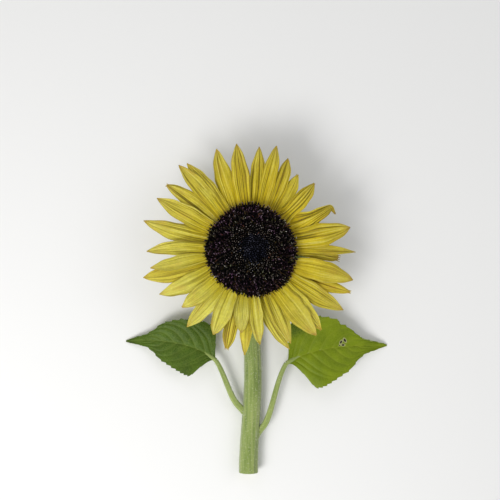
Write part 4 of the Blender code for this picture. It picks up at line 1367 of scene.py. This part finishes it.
# %% A tube along a path
def tube(name, stations, sides, relief, cut_rings):
    """A closed tube, open to relief. Rings of (share of the radius, depth, material) fill its
    cut start."""
    points, uvs, faces, slots = [], [], [], []
    travelled = 0.0
    for i, (centre, up, radius) in enumerate(stations):
        ahead = stations[min(i + 1, len(stations) - 1)][0] - stations[max(i - 1, 0)][0]
        side = ahead.cross(up).normalized()
        travelled += (centre - stations[max(i - 1, 0)][0]).length
        for k in range(sides):
            angle = 2.0 * math.pi * k / sides
            full = radius - relief(angle, travelled, radius)
            points.append(centre - up * (math.cos(angle) * full) + side * (math.sin(angle) * full))
            uvs.append((angle * radius, travelled))
    for a in range((len(stations) - 1) * sides):
        n = a + 1 if (a + 1) % sides else a + 1 - sides
        faces.append((a, n, n + sides, a + sides))
        slots.append(0)
    faces.append(tuple((len(stations) - 1) * sides + k for k in range(sides)))
    slots.append(0)
    middle = stations[0][0]
    inward = (stations[1][0] - middle).normalized()
    ring = list(range(sides))
    for share, depth, slot in cut_rings:
        first = len(points)
        for k in range(sides):
            points.append(middle + (points[k] - middle) * share + inward * depth)
            uvs.append((points[-1].x, points[-1].z))
        for k in range(sides):
            n = (k + 1) % sides
            faces.append((ring[n], ring[k], first + k, first + n))
            slots.append(slot)
        ring = list(range(first, first + sides))
    faces.append(tuple(reversed(ring)))
    slots.append(slots[-1])
    mesh = bpy.data.meshes.new(name)
    mesh.from_pydata(points, [], faces)
    mesh.polygons.foreach_set("material_index", slots)
    store_map(mesh, uvs)
    return faced_outward(mesh)


print("a tube's UV map is in metres, around it and along it")

# %% Relief of the stem's skin
FLUTES = 12
FLUTE_DEPTH = 0.35 * MM
# the flutes wind a little from side to side as they go along
FLUTE_SWAY = 0.6
FLUTE_SWAY_RUN = 30.0 * MM
KNOB_DEPTH = 0.18 * MM
KNOB_RATE = 3.0
KNOB_RUN = 9.0 * MM


def stem_relief(angle, travelled, radius):
    """How far the skin lies inside the round: shallow flutes, and a slow unevenness."""
    sway = FLUTE_SWAY * math.sin(travelled / FLUTE_SWAY_RUN)
    flute = 0.5 - 0.5 * math.cos(FLUTES * angle + sway)
    place = Vector((KNOB_RATE * math.cos(angle), KNOB_RATE * math.sin(angle), travelled / KNOB_RUN))
    return FLUTE_DEPTH * flute + KNOB_DEPTH * (0.5 + 0.5 * noise.noise(place))


print("flutes:", FLUTES, "of", round(FLUTE_DEPTH / MM, 2), "mm")

# %% [markdown]
# The stem's colour runs in long pale and darker streaks along its flutes, so its finish reads a
# UV map in metres, around and along. The cut shows a thin green skin, a paler ring of bundles
# and the white foam of the pith, sunk a little because it dries.

# %% Stem finishes
def streaked_finish(name, stops, fleck, values):
    """Green skin in long streaks along a stem or stalk, with pale flecks where its hairs sit."""
    material, tree, shader = new_material(name, values)
    place = add(tree, "ShaderNodeUVMap", uv_map="map")
    drawn = add(tree, "ShaderNodeMapping", {"Vector": place, "Scale": (1.0, 0.06, 1.0)})
    streaks = add(tree, "ShaderNodeTexNoise", {"Vector": drawn, "Scale": 0.5 / MM, "Detail": 4.0})
    body = add(tree, "ShaderNodeValToRGB", {"Fac": streaks.outputs["Fac"]}, stops)
    flecks = add(tree, "ShaderNodeTexVoronoi", {"Vector": place, "Scale": 0.45 / MM})
    near = add(tree, "ShaderNodeMapRange", {"Value": flecks.outputs["Distance"], "From Min": 0.05,
               "From Max": 0.30, "To Min": 0.55, "To Max": 0.0})
    final = mixed(tree, near, body, colour(fleck))
    rough = add(tree, "ShaderNodeTexNoise", {"Vector": place, "Scale": 1.4 / MM, "Detail": 2.0})
    relief = add(tree, "ShaderNodeBump", {"Height": rough.outputs["Fac"], "Strength": 0.5,
                 "Distance": 0.15 * MM})
    fill(tree, shader, {"Base Color": final, "Normal": relief})
    return material


stem_skin = streaked_finish("stem skin, bristly green",
                            [(0.30, "#6C8036"), (0.55, "#8C9C52"), (0.75, "#A3AE68")], "#C2C795", DOWNY)
pith = green_finish("pith, white foam", "#CFCBA6", "#E3E0C2", "#F0EEDB", 2.0 * MM,
                    {"Roughness": 0.9, "Specular IOR Level": 0.2})
bundle_ring = green_finish("bundle ring, pale green", "#93A05A", "#AEB878", "#C9CF9C", 1.0 * MM,
                           {"Roughness": 0.7})
print("stem finishes:", ", ".join(made.name for made in (stem_skin, pith, bundle_ring)))

# %% [markdown]
# ### Hairs
#
# Sunflowers are rough to the touch: short stiff hairs stand on the stem, on the leaf stalks and
# along the edges of the bracts. A node tree scatters points over a surface where its mark
# "downy" is high, and stands a three-sided hair on each one, swaying a little from upright. It
# skips points close to the ground, where the hairs would be pressed flat.

# %% Node tree: hairs on a surface
hairs = bpy.data.node_groups.new("hairs on a surface", "GeometryNodeTree")
for name, kind in [("Surface", "Geometry"), ("Density", "Float"), ("Hair", "Object"),
                   ("Length", "Float"), ("Length Chance", "Float"), ("Sway", "Float"),
                   ("Ground", "Float"), ("Seed", "Int"), ("Finish", "Material")]:
    hairs.interface.new_socket(name, in_out="INPUT", socket_type="NodeSocket" + kind)
hairs.interface.new_socket("Hairs", in_out="OUTPUT", socket_type="NodeSocketGeometry")

given = add(hairs, "NodeGroupInput").outputs
downy = add(hairs, "GeometryNodeInputNamedAttribute", {"Name": "downy"}, data_type="FLOAT")
thick = maths(hairs, "MULTIPLY", downy, given["Density"])
points = add(hairs, "GeometryNodeDistributePointsOnFaces", {"Mesh": given["Surface"],
             "Density": thick, "Seed": given["Seed"]})
place = add(hairs, "GeometryNodeInputPosition")
height = add(hairs, "ShaderNodeSeparateXYZ", {0: place})
clear = maths(hairs, "GREATER_THAN", height.outputs["Z"], given["Ground"])
stray = add(hairs, "FunctionNodeRandomValue", {"Min": (-1.0, -1.0, -1.0), "Max": (1.0, 1.0, 1.0),
            "Seed": 2}, data_type="FLOAT_VECTOR")
swaying = add(hairs, "ShaderNodeVectorMath", {0: stray, "Scale": given["Sway"]}, operation="SCALE")
facing = vectors(hairs, "ADD", points.outputs["Normal"], swaying)
upright = add(hairs, "FunctionNodeAlignRotationToVector", {"Vector": facing}, axis="Z")
chance = add(hairs, "FunctionNodeRandomValue", {"Min": -1.0, "Seed": 4})
factor = maths(hairs, "MULTIPLY_ADD", chance, given["Length Chance"], 1.0)
size = maths(hairs, "MULTIPLY", factor, given["Length"])
hair = add(hairs, "GeometryNodeObjectInfo", {"Object": given["Hair"]})
copies = add(hairs, "GeometryNodeInstanceOnPoints", {"Points": points, "Selection": clear,
             "Instance": hair.outputs["Geometry"], "Rotation": upright, "Scale": size})
real = add(hairs, "GeometryNodeRealizeInstances", {"Geometry": copies})
finish = add(hairs, "GeometryNodeSetMaterial", {"Geometry": real, "Material": given["Finish"]})
add(hairs, "NodeGroupOutput", {"Hairs": finish})
print("hair tree:", len(hairs.nodes), "nodes")

# %% One hair and its finish
# the hair is a millimetre tall, so its Length on a surface is in millimetres
hair_shape = shape_object("hair_shape", [
    (*ring_shape([(-0.1, 0.07, -0.1, 0.07), (0.6, 0.045, 0.6, 0.045),
                  (1.0, 0.008, 1.0, 0.008)], 3), 0.0)])
hair_white = green_finish("plant hair, clear to white", "#C9CDB0", "#DDE0C8", "#E8EAD8", 4.0 * MM,
                          {"Roughness": 0.5, "Specular IOR Level": 0.4})
hair_values = {"Hair": hair_shape, "Length Chance": 0.45, "Sway": 0.5, "Ground": 2.2 * MM,
               "Seed": 3, "Finish": hair_white}
CM2 = 1e-4
print("one hair:", triangles(hair_shape.data), "triangles")

# %% Build the stem, its neck and their hairs
STEM_SIDES = 72
# each ring of the cut is (share of the radius, depth, material)
CUT_RINGS = [(0.95, 0.05 * MM, 0), (0.90, 0.0, 1), (0.78, 0.15 * MM, 1), (0.74, 0.55 * MM, 2),
             (0.45, 0.8 * MM, 2), (0.15, 0.9 * MM, 2)]
CUT_BARE = 1.0 * MM
STEM_HAIRS_PER_CM2 = 16

stem = tube("stem_skin", stem_stations(), STEM_SIDES, stem_relief, CUT_RINGS)
for material in (stem_skin, bundle_ring, pith):
    stem.materials.append(material)
store_mark(stem, "downy", [float(v.co.y > STEM_CUT_Y + CUT_BARE) for v in stem.vertices])
stem_hairs = applied(stem, (hairs, {**hair_values, "Density": STEM_HAIRS_PER_CM2 / CM2, "Length": 1.5}))
finished("stem_with_neck", stem, "stem_green", "stem", "neck")
finished("stem_hairs", stem_hairs, "stem_green")
print("stem:", triangles(stem), "and hairs:", triangles(stem_hairs), "triangles")

# %% Hairs along the edges of the bracts
BRACT_HAIRS_PER_CM2 = 130
bract_edges = joined("bract_edges", downy_hosts)
bract_hairs = applied(bract_edges, (hairs, {**hair_values, "Density": BRACT_HAIRS_PER_CM2 / CM2,
                                            "Length": 1.3, "Sway": 0.9}))
finished("bract_hairs", bract_hairs, "bract_green")
print("bract hairs:", triangles(bract_hairs), "triangles")

# %% [markdown]
# ## Leaves
#
# A sunflower leaf is a wide oval with a sawn edge. Three strong veins start at its foot and
# smaller ones branch from the midrib, all sunk into the upper side, and the blade puffs up
# between them like a quilt. The blade is a fine grid along a curved midrib, and how far each
# point lies from the nearest vein gives both its height and its mark "vein" for the colour.

# %% Curves for midribs and stalks
CURVE_STEP = 0.02
CURVE_SAMPLES = 50


def curve_point(nodes, along):
    """Point on a cubic curve through its first and last control points."""
    a, b, c, d = nodes
    left = 1.0 - along
    first_half = a * left ** 3 + b * (3.0 * left * left * along)
    return first_half + c * (3.0 * left * along ** 2) + d * along ** 3


def curve_heading(nodes, along):
    """The direction in which the curve goes on from a point."""
    ahead = curve_point(nodes, min(1.0, along + CURVE_STEP))
    return (ahead - curve_point(nodes, max(0.0, along - CURVE_STEP))).normalized()


def curve_length(nodes):
    """Length of the curve, summed over short straight steps."""
    points = [curve_point(nodes, k / CURVE_SAMPLES) for k in range(CURVE_SAMPLES + 1)]
    return sum((here - there).length for here, there in zip(points, points[1:]))


print("a curve is measured in", CURVE_SAMPLES, "steps")

# %% Outline and veins of a leaf
# the blade's width follows a half wave that is widest below the middle, swells fast past its
# lobes and is cut back where it is drawn out to a point
LEAF_WIDEST_POWER = 0.58
LEAF_FULLNESS = 0.8
LEAF_LOBE = 0.24
LEAF_POINT = 0.45
LEAF_POINT_FROM = 0.66
LEAF_POINT_RUN = 0.18
# where each side vein leaves the midrib, as a share of the blade's length; the first is the
# strong basal one, and the others leave a little later on the right than on the left
VEIN_STARTS = [0.015, 0.16, 0.29, 0.42, 0.54, 0.65, 0.75, 0.84]
VEIN_STAGGER = 0.012
VEIN_SLOPE = 0.30
VEIN_SLOPE_LOSS = 0.45
VEIN_CURL = 0.14
BASAL_SLOPE = 0.40
VEIN_SLANT = 0.75


def leaf_half_width(along, width):
    """Half width of a heart-shaped blade that is drawn out to a long point."""
    oval = max(0.0, math.sin(math.pi * along ** LEAF_WIDEST_POWER)) ** LEAF_FULLNESS
    point = 1.0 - LEAF_POINT * smooth((along - LEAF_POINT_FROM) / LEAF_POINT_RUN)
    return 0.5 * width * oval * point * smooth(along / LEAF_LOBE)


def vein_distance(along, u, length):
    """Distance in metres from a point of the blade to the nearest side vein."""
    nearest = 1.0
    for k, start in enumerate(VEIN_STARTS):
        shift = VEIN_STAGGER * (1 if u > 0.0 else -1) * (k > 0)
        slope = BASAL_SLOPE if k == 0 else VEIN_SLOPE * (1.0 - VEIN_SLOPE_LOSS * start)
        line = start + shift + slope * abs(u) + VEIN_CURL * abs(u) ** 3
        nearest = min(nearest, abs(along - line))
    return nearest * length * VEIN_SLANT


print("side veins:", len(VEIN_STARTS), "on each side")

# %% Dead spots
# middle of a dead spot (east and north of the bloom's axis, in mm), its radii and its turn
SPOTS = [(82.9, -80.7, 1.6, 0.85, 60.0), (86.5, -79.1, 1.7, 0.95, -60.0),
         (84.9, -83.3, 1.4, 0.8, 0.0), (81.6, -83.7, 0.6, 0.5, 0.0)]
SPOT_DEPTH = 0.12 * MM


def spot_reach(point, spot):
    """How far a point is from the middle of a spot, as a share of the spot's own radius."""
    x, y, long, short, turn = spot
    angle = math.radians(turn)
    east, north = point.x / MM - x, point.y / MM - y
    return math.hypot((east * math.cos(angle) + north * math.sin(angle)) / long,
                      (north * math.cos(angle) - east * math.sin(angle)) / short)


print("dead spots:", len(SPOTS))

# %% The upper face of a blade
LEAF_STATIONS = 150
LEAF_COLUMNS = 81
LEAF_TIP = 0.5 * MM
LEAF_FLOOR = 0.5 * MM
LEAF_TROUGH_END = 0.9
# each tooth of the sawn edge swells and drops back at once; teeth are full where the half width
# is this share of the whole one, start a little way along and fade fast toward the midrib
TEETH = 15
TOOTH_DEPTH = 1.3 * MM
TOOTH_POWER = 1.3
TOOTH_FULL_SHARE = 0.2
TOOTH_FROM = 0.1
TOOTH_EDGE = 8
SAW_SHIFT = 0.02
BITE_RUN = 0.012
BITE_EDGE = 6
# veins and midrib are sunk in, and the blade puffs up away from them
VEIN_DEPTH = 0.40 * MM
VEIN_HALF_WIDTH = 0.75 * MM
VEIN_FADE = 0.5
VEIN_MARK = 0.7
MIDRIB_DEPTH = 0.7 * MM
MIDRIB_HALF_WIDTH = 1.1 * MM
MIDRIB_FOOT = 1.1
MIDRIB_TAPER = 0.7
MIDRIB_RISE = 0.6
MIDRIB_MARK = 0.6
QUILT = 0.5 * MM
QUILT_REACH = 3.4 * MM
QUILT_EDGE = 6
ROUGH = 0.16 * MM
ROUGH_RUN = 3.2 * MM
LEAF_WAVE = 1.3 * MM
LEAF_WAVE_RATE = 15.0
# the part of the blade inside this distance from the bloom's axis is painted a deeper green, as the
# bloom's shadow
SHADE_FROM = 81.0 * MM
SHADE_RUN = 9.0 * MM


def leaf_sheet(midrib, width, trough, seed, bite, spots):
    """The upper face of a blade. A bite is (side, from, depth) of a step in its edge."""
    bite_side, bite_from, bite_depth = bite
    length = curve_length(midrib)
    phase = random.Random(seed).uniform(0.0, 2.0 * math.pi)
    rows, uvs, veins, shades = [], [], [], []
    for i in range(LEAF_STATIONS):
        along = i / (LEAF_STATIONS - 1)
        centre = curve_point(midrib, along)
        heading = curve_heading(midrib, along)
        side = Vector((heading.y, -heading.x, 0.0)).normalized()
        half = max(leaf_half_width(along, width), LEAF_TIP)
        fold = trough * math.sin(math.pi * min(1.0, along / LEAF_TROUGH_END))
        saw = (along * TEETH + SAW_SHIFT * seed) % 1.0
        fullness = min(1.0, half / (TOOTH_FULL_SHARE * width))
        tooth = TOOTH_DEPTH * (saw ** TOOTH_POWER - 0.5) * fullness * smooth(along / TOOTH_FROM)
        rib_width = MIDRIB_HALF_WIDTH * (MIDRIB_FOOT - MIDRIB_TAPER * along)
        rib_depth = 1.0 - MIDRIB_RISE * along
        points, pairs, marks, shaded = [], [], [], []
        for j in range(LEAF_COLUMNS):
            u = 2.0 * j / (LEAF_COLUMNS - 1) - 1.0
            sign = 1.0 if u > 0.0 else -1.0
            across = u * half + sign * tooth * abs(u) ** TOOTH_EDGE
            if sign == bite_side and along > bite_from:
                step = smooth((along - bite_from) / BITE_RUN)
                across -= sign * bite_depth * step * (1.0 - along) * abs(u) ** BITE_EDGE
            apart = vein_distance(along, u, length)
            vein = (1.0 - VEIN_FADE * abs(u)) * math.exp(-(apart / VEIN_HALF_WIDTH) ** 2)
            rib = math.exp(-(across / rib_width) ** 2)
            raised = 1.0 - math.exp(-(min(apart, abs(across)) / QUILT_REACH) ** 2)
            puff = raised * (1.0 - abs(u) ** QUILT_EDGE)
            rough = noise.noise(Vector((across, along * length, seed)) / ROUGH_RUN)
            wave = math.sin(LEAF_WAVE_RATE * along + phase + sign)
            point = centre + side * across
            point.z += fold * abs(u) - VEIN_DEPTH * vein - MIDRIB_DEPTH * rib * rib_depth
            point.z += QUILT * puff + ROUGH * rough
            point.z += LEAF_WAVE * wave * abs(u) ** 3 * (1.0 - along)
            point.z -= SPOT_DEPTH * sum(spot_reach(point, spot) < 1.0 for spot in spots)
            point.z = max(point.z, LEAF_FLOOR)
            points.append(point)
            pairs.append((across, along * length))
            marks.append(min(1.0, VEIN_MARK * vein + MIDRIB_MARK * rib))
            # painted shadow of the bloom: 1 near the bloom's edge, fading to 0 further out
            shaded.append(1.0 - smooth((point.xy.length - SHADE_FROM) / SHADE_RUN))
        rows.append(points)
        uvs.append(pairs)
        veins.append(marks)
        shades.append(shaded)
    return sheet("leaf_face", rows, uvs, {"vein": veins, "shade": shades})


print("blade:", LEAF_STATIONS, "by", LEAF_COLUMNS, "points")

# %% [markdown]
# The upper side is a clear yellow green, cloudy over a few centimetres, with paler veins and a
# fine net between them. The net is a Voronoi pattern of cells a millimetre and a half wide on
# the blade's own UV map. The corner under the bloom, marked "shade", is painted a deeper green
# as the bloom's shadow. Near the point are four small dead spots, dark and sunk in, each with a
# thin dry rim: a Mapping node for each one makes its oval a circle of radius 1, and a length
# says how far out a point is.

# %% Colour of a dead spot
SPOT = "#17160F"
SPOT_RIM = "#C4BE93"


def dead_spot(tree, place, spot, under):
    """A colour with a dead spot laid over it."""
    x, y, long, short, turn = spot
    middle = HEAD + Vector((x, y, 0.0)) * MM
    oval = add(tree, "ShaderNodeMapping", {"Vector": place, "Location": middle,
               "Rotation": (0.0, 0.0, math.radians(turn)), "Scale": (long * MM, short * MM, 1.0)},
               vector_type="TEXTURE")
    reach = vectors(tree, "LENGTH", oval).outputs["Value"]
    rim = add(tree, "ShaderNodeMapRange", {"Value": reach, "From Min": 1.75, "From Max": 1.3,
              "To Max": 0.65})
    core = add(tree, "ShaderNodeMapRange", {"Value": reach, "From Min": 1.15, "From Max": 0.85})
    dried = mixed(tree, rim, under, colour(SPOT_RIM))
    return mixed(tree, core, dried, colour(SPOT))


print("a dead spot is", SPOT, "inside a rim of", SPOT_RIM)

# %% Leaf finishes
BLOOM_SHADOW_GREEN = "#3A5210"


def leaf_finish(name, dark, light, vein_code, net, spots, values):
    """Cloudy green with paler veins, a fine net between them, the bloom's shadow painted in as a deeper
    green, and any dead spots.
    """
    material, tree, shader = new_material(name, values)
    place = add(tree, "ShaderNodeUVMap", uv_map="map")
    cloud = add(tree, "ShaderNodeTexNoise", {"Vector": place, "Scale": 0.05 / MM, "Detail": 5.0})
    body = add(tree, "ShaderNodeValToRGB", {"Fac": cloud.outputs["Fac"]}, [(0.32, dark), (0.68, light)])
    cells = add(tree, "ShaderNodeTexVoronoi", {"Vector": place, "Scale": 0.62 / MM},
                feature="DISTANCE_TO_EDGE")
    lines = add(tree, "ShaderNodeMapRange", {"Value": cells, "From Min": 0.02, "From Max": 0.14,
                "To Min": net, "To Max": 0.0})
    vein = add(tree, "ShaderNodeAttribute", attribute_name="vein").outputs["Fac"]
    strong = maths(tree, "MULTIPLY", vein, 0.5)
    both = maths(tree, "MAXIMUM", strong, lines)
    # the bloom's shadow, painted as a deeper green over the corner under it
    shade = add(tree, "ShaderNodeAttribute", attribute_name="shade").outputs["Fac"]
    deeper = maths(tree, "MULTIPLY", shade, 0.8)
    painted_bloom_shadow = mixed(tree, deeper, body, colour(BLOOM_SHADOW_GREEN))
    final = mixed(tree, both, painted_bloom_shadow, colour(vein_code))
    world_place = add(tree, "ShaderNodeTexCoord").outputs["Object"]
    for spot in spots:
        final = dead_spot(tree, world_place, spot, final)
    relief = add(tree, "ShaderNodeBump", {"Height": cells, "Strength": 0.45, "Distance": 0.25 * MM})
    fill(tree, shader, {"Base Color": final, "Normal": relief})
    return material


# a leaf has a thin waxy skin, with a tighter highlight than a petal
WAXY_LEAF = {"Roughness": 0.50, "Specular IOR Level": 0.15}
leaf_bright = leaf_finish("leaf upper side, yellow green", "#607408", "#7C8E10", "#969F34", 0.25,
                          SPOTS, WAXY_LEAF)
# a darker copy of the upper side for the left leaf: the bloom's shadow, painted in
leaf_shaded = leaf_finish("leaf upper side, deep green", "#384F12", "#4F6A18", "#7C8A3C", 0.30,
                          [], WAXY_LEAF)
leaf_back = leaf_finish("leaf underside, grey green", "#7C8948", "#949F5E", "#B4B884", 0.35,
                        [], DOWNY)
stalk_skin = streaked_finish("leaf stalk, pale green", [(0.30, "#76893B"), (0.55, "#93A256"),
                             (0.75, "#A9B46C")], "#C2C795", DOWNY)
leaf_finishes = (leaf_bright, leaf_shaded, leaf_back, stalk_skin)
print("leaf finishes:", ", ".join(material.name for material in leaf_finishes))

# %% [markdown]
# ### Stalks and the ribs underneath
#
# A leaf stalk is a tube along a curve, with a groove along its upper side and a foot that flares
# into the stem. It runs on under the blade as the midrib, which stands out there as a tapering
# rib. Both are the same kind of tube, and the rib sinks until its top just lies in the blade.

# %% Stalks and ribs
STALK_SIDES = 28
STALK_STEPS = 46
STALK_STEM_RADIUS = 2.9 * MM
STALK_BLADE_RADIUS = 2.0 * MM
STALK_FOOT = 10.0 * MM
STALK_FOOT_STEPS = 8
STALK_FOOT_RADIUS = 4.3 * MM
CHANNEL_DEPTH = 0.7 * MM
CHANNEL_HALF_ANGLE = 0.45
RIB_FROM = 0.015
RIB_TO = 0.93
RIB_END_RADIUS = 0.3 * MM
RIB_STEPS = 50
RIB_SINKS = 0.22
RIB_COVER = 0.75 * MM


def curve_stations(nodes, first, last, steps, radius_first, radius_last, cover=None):
    """Rings along a stretch of a curve. With a cover, they sink under it as they go on."""
    stations = []
    for i in range(steps):
        share = i / (steps - 1)
        along = first + (last - first) * share
        heading = curve_heading(nodes, along)
        up = heading.cross(UP).normalized().cross(heading)
        radius = radius_first + (radius_last - radius_first) * share
        dark_veins_and_painted_crease_shade = 0.0 if cover is None else (radius + cover) * smooth(share / RIB_SINKS)
        stations.append((curve_point(nodes, along) - up * dark_veins_and_painted_crease_shade, up, radius))
    return stations


def channel(angle, travelled, radius):
    """The groove along the upper side of a leaf stalk."""
    off = (angle - math.pi) / CHANNEL_HALF_ANGLE
    return CHANNEL_DEPTH * (radius / STALK_STEM_RADIUS) * math.exp(-off ** 2)


def build_stalk(nodes):
    """A grooved stalk from its flared foot at the stem up to the blade."""
    stations = curve_stations(nodes, 0.0, 1.0, STALK_STEPS, STALK_STEM_RADIUS, STALK_BLADE_RADIUS)
    start, up, radius = stations[0]
    heading = curve_heading(nodes, 0.0)
    for i in range(1, STALK_FOOT_STEPS + 1):
        share = i / STALK_FOOT_STEPS
        flare = radius + (STALK_FOOT_RADIUS - radius) * share ** 2
        stations.insert(0, (start - heading * (STALK_FOOT * share), up, flare))
    return tube("stalk", stations, STALK_SIDES, channel, [])


def build_rib(midrib):
    """The round rib that carries the stalk on under the blade."""
    stations = curve_stations(midrib, RIB_FROM, RIB_TO, RIB_STEPS, STALK_BLADE_RADIUS,
                              RIB_END_RADIUS, RIB_COVER)
    return tube("rib", stations, STALK_SIDES, lambda angle, travelled, radius: 0.0, [])


print("a stalk tapers to", round(2.0 * STALK_BLADE_RADIUS / MM, 1), "mm at the blade")

# %% Build the leaves
LEAF_SHEET = 0.45 * MM
STALK_HAIRS_PER_CM2 = 45
# the bite of a leaf that has none would start beyond its tip
NO_BITE = (1.0, 2.0, 0.0)


def build_leaf(side, upper, stalk_nodes, midrib_nodes, width, trough, seed, bite, spots):
    """A leaf from the control points of its stalk and its midrib, in mm from the bloom's axis."""
    midrib = [Vector(place) * MM for place in midrib_nodes]
    face = leaf_sheet(midrib, width, trough, seed, bite, spots)
    face.materials.append(upper)
    face.materials.append(leaf_back)
    blade = applied(face, ("SOLIDIFY", {"thickness": LEAF_SHEET, "offset": -1.0, "material_offset": 1}))
    stalk = build_stalk([Vector(place) * MM for place in stalk_nodes])
    stalk.materials.append(stalk_skin)
    store_mark(stalk, "downy", [1.0] * len(stalk.vertices))
    rib = build_rib(midrib)
    rib.materials.append(stalk_skin)
    down = applied(stalk, (hairs, {**hair_values, "Density": STALK_HAIRS_PER_CM2 / CM2, "Length": 1.1}))
    leaf = joined("leaf", [blade, stalk, rib])
    finished("leaf_blade_" + side, leaf, "leaf_green", "leaf_" + side)
    finished("leaf_hairs_" + side, down, "leaf_green")
    print("leaf", side, triangles(leaf), "and hairs", triangles(down), "triangles")


build_leaf("right", leaf_bright,
           [(12.7, -156.0, 9.0), (21.0, -147.0, 11.0), (24.0, -114.0, 12.4), (33.8, -99.4, 12.5)],
           [(33.0, -100.0, 12.4), (55.0, -85.0, 15.5), (84.0, -84.0, 17.5), (127.0, -84.0, 1.25)],
           64.5 * MM, 4.0 * MM, 1, (-1.0, 0.61, 9.0 * MM), SPOTS)
build_leaf("left", leaf_shaded,
           [(-8.2, -138.0, 8.5), (-17.0, -130.0, 10.0), (-21.0, -109.0, 11.0), (-29.2, -97.0, 11.0)],
           [(-28.5, -97.5, 10.9), (-46.0, -82.0, 13.5), (-74.0, -77.0, 14.5), (-110.0, -80.0, 1.25)],
           50.0 * MM, 3.0 * MM, 2, NO_BITE, [])
bpy.data.objects.remove(hair_shape)

# %% [markdown]
# ## Stage, light and camera
#
# The flower lies on a plain pale floor. A large soft light stands to the lower side of the
# bloom, so the rays there are the brightest and each level casts a soft shadow on the next,
# and two weaker ones keep the shadows open. The camera looks down at the bloom almost square
# on, from a little below and to its left.

# %% Floor and world
FLOOR_HALF = 6.0

floor_mesh = bpy.data.meshes.new("floor")
corners = [(-FLOOR_HALF, -FLOOR_HALF, 0.0), (FLOOR_HALF, -FLOOR_HALF, 0.0),
           (FLOOR_HALF, FLOOR_HALF, 0.0), (-FLOOR_HALF, FLOOR_HALF, 0.0)]
floor_mesh.from_pydata(corners, [], [(0, 1, 2, 3)])
paper, tree, shader = new_material("floor, white paper", {"Base Color": colour("#F2F1EE"),
                                   "Roughness": 0.9})
floor_mesh.materials.append(paper)
linked("floor", floor_mesh)

world = bpy.data.worlds.new("studio")
world.use_nodes = True
bpy.context.scene.world = world
fill(world.node_tree, world.node_tree.nodes["Background"], {"Color": colour("#F4F6FA"),
     "Strength": 0.50})
# the plain transform keeps the yellow as saturated as its hex codes say
bpy.context.scene.view_settings.view_transform = "Standard"
print("floor", round(2.0 * FLOOR_HALF), "m wide")

# %% Lights
def soft_light(name, place, size, watts):
    """A square area light, placed in metres from the foot of the bloom's axis, that faces it."""
    data = bpy.data.lights.new(name, "AREA")
    data.size = size
    data.energy = watts
    lamp = linked(name, data)
    lamp.location = HEAD + Vector(place)
    lamp.rotation_euler = (Vector(place) * -1.0).to_track_quat("-Z", "Y").to_euler()


soft_light("key", (-0.50, -0.60, 0.85), 0.50, 8.0)
soft_light("fill", (0.9, 0.2, 1.0), 0.8, 2.0)
soft_light("back", (-0.4, 0.9, 1.0), 0.7, 1.5)
print("lights:", len(bpy.data.lights))

# %% Camera
FACE_Z = 48.0 * MM
AIM = Vector((-0.7 * MM, -0.5 * MM, 0.0))
CAMERA_DISTANCE = 0.75
CAMERA_WEST = math.radians(3.0)
CAMERA_SOUTH = math.radians(4.0)
FRAME_WIDTH_AT_FACE = 430.0 * MM
SENSOR_MM = 36.0

target = HEAD + AIM + Vector((0.0, 0.0, FACE_Z))
line = Vector((-math.tan(CAMERA_WEST), -math.tan(CAMERA_SOUTH), 1.0)).normalized()
level = Vector((0.0, 1.0, 0.0)).cross(line).normalized()
lens = bpy.data.cameras.new("camera")
lens.sensor_width = SENSOR_MM
lens.lens = SENSOR_MM * CAMERA_DISTANCE / FRAME_WIDTH_AT_FACE
camera = linked("camera", lens)
camera.location = target + line * CAMERA_DISTANCE
camera.rotation_euler = Matrix((level, line.cross(level), line)).transposed().to_euler()
bpy.context.scene.camera = camera
print("camera", [round(v, 3) for v in camera.location], "lens", round(lens.lens, 1))
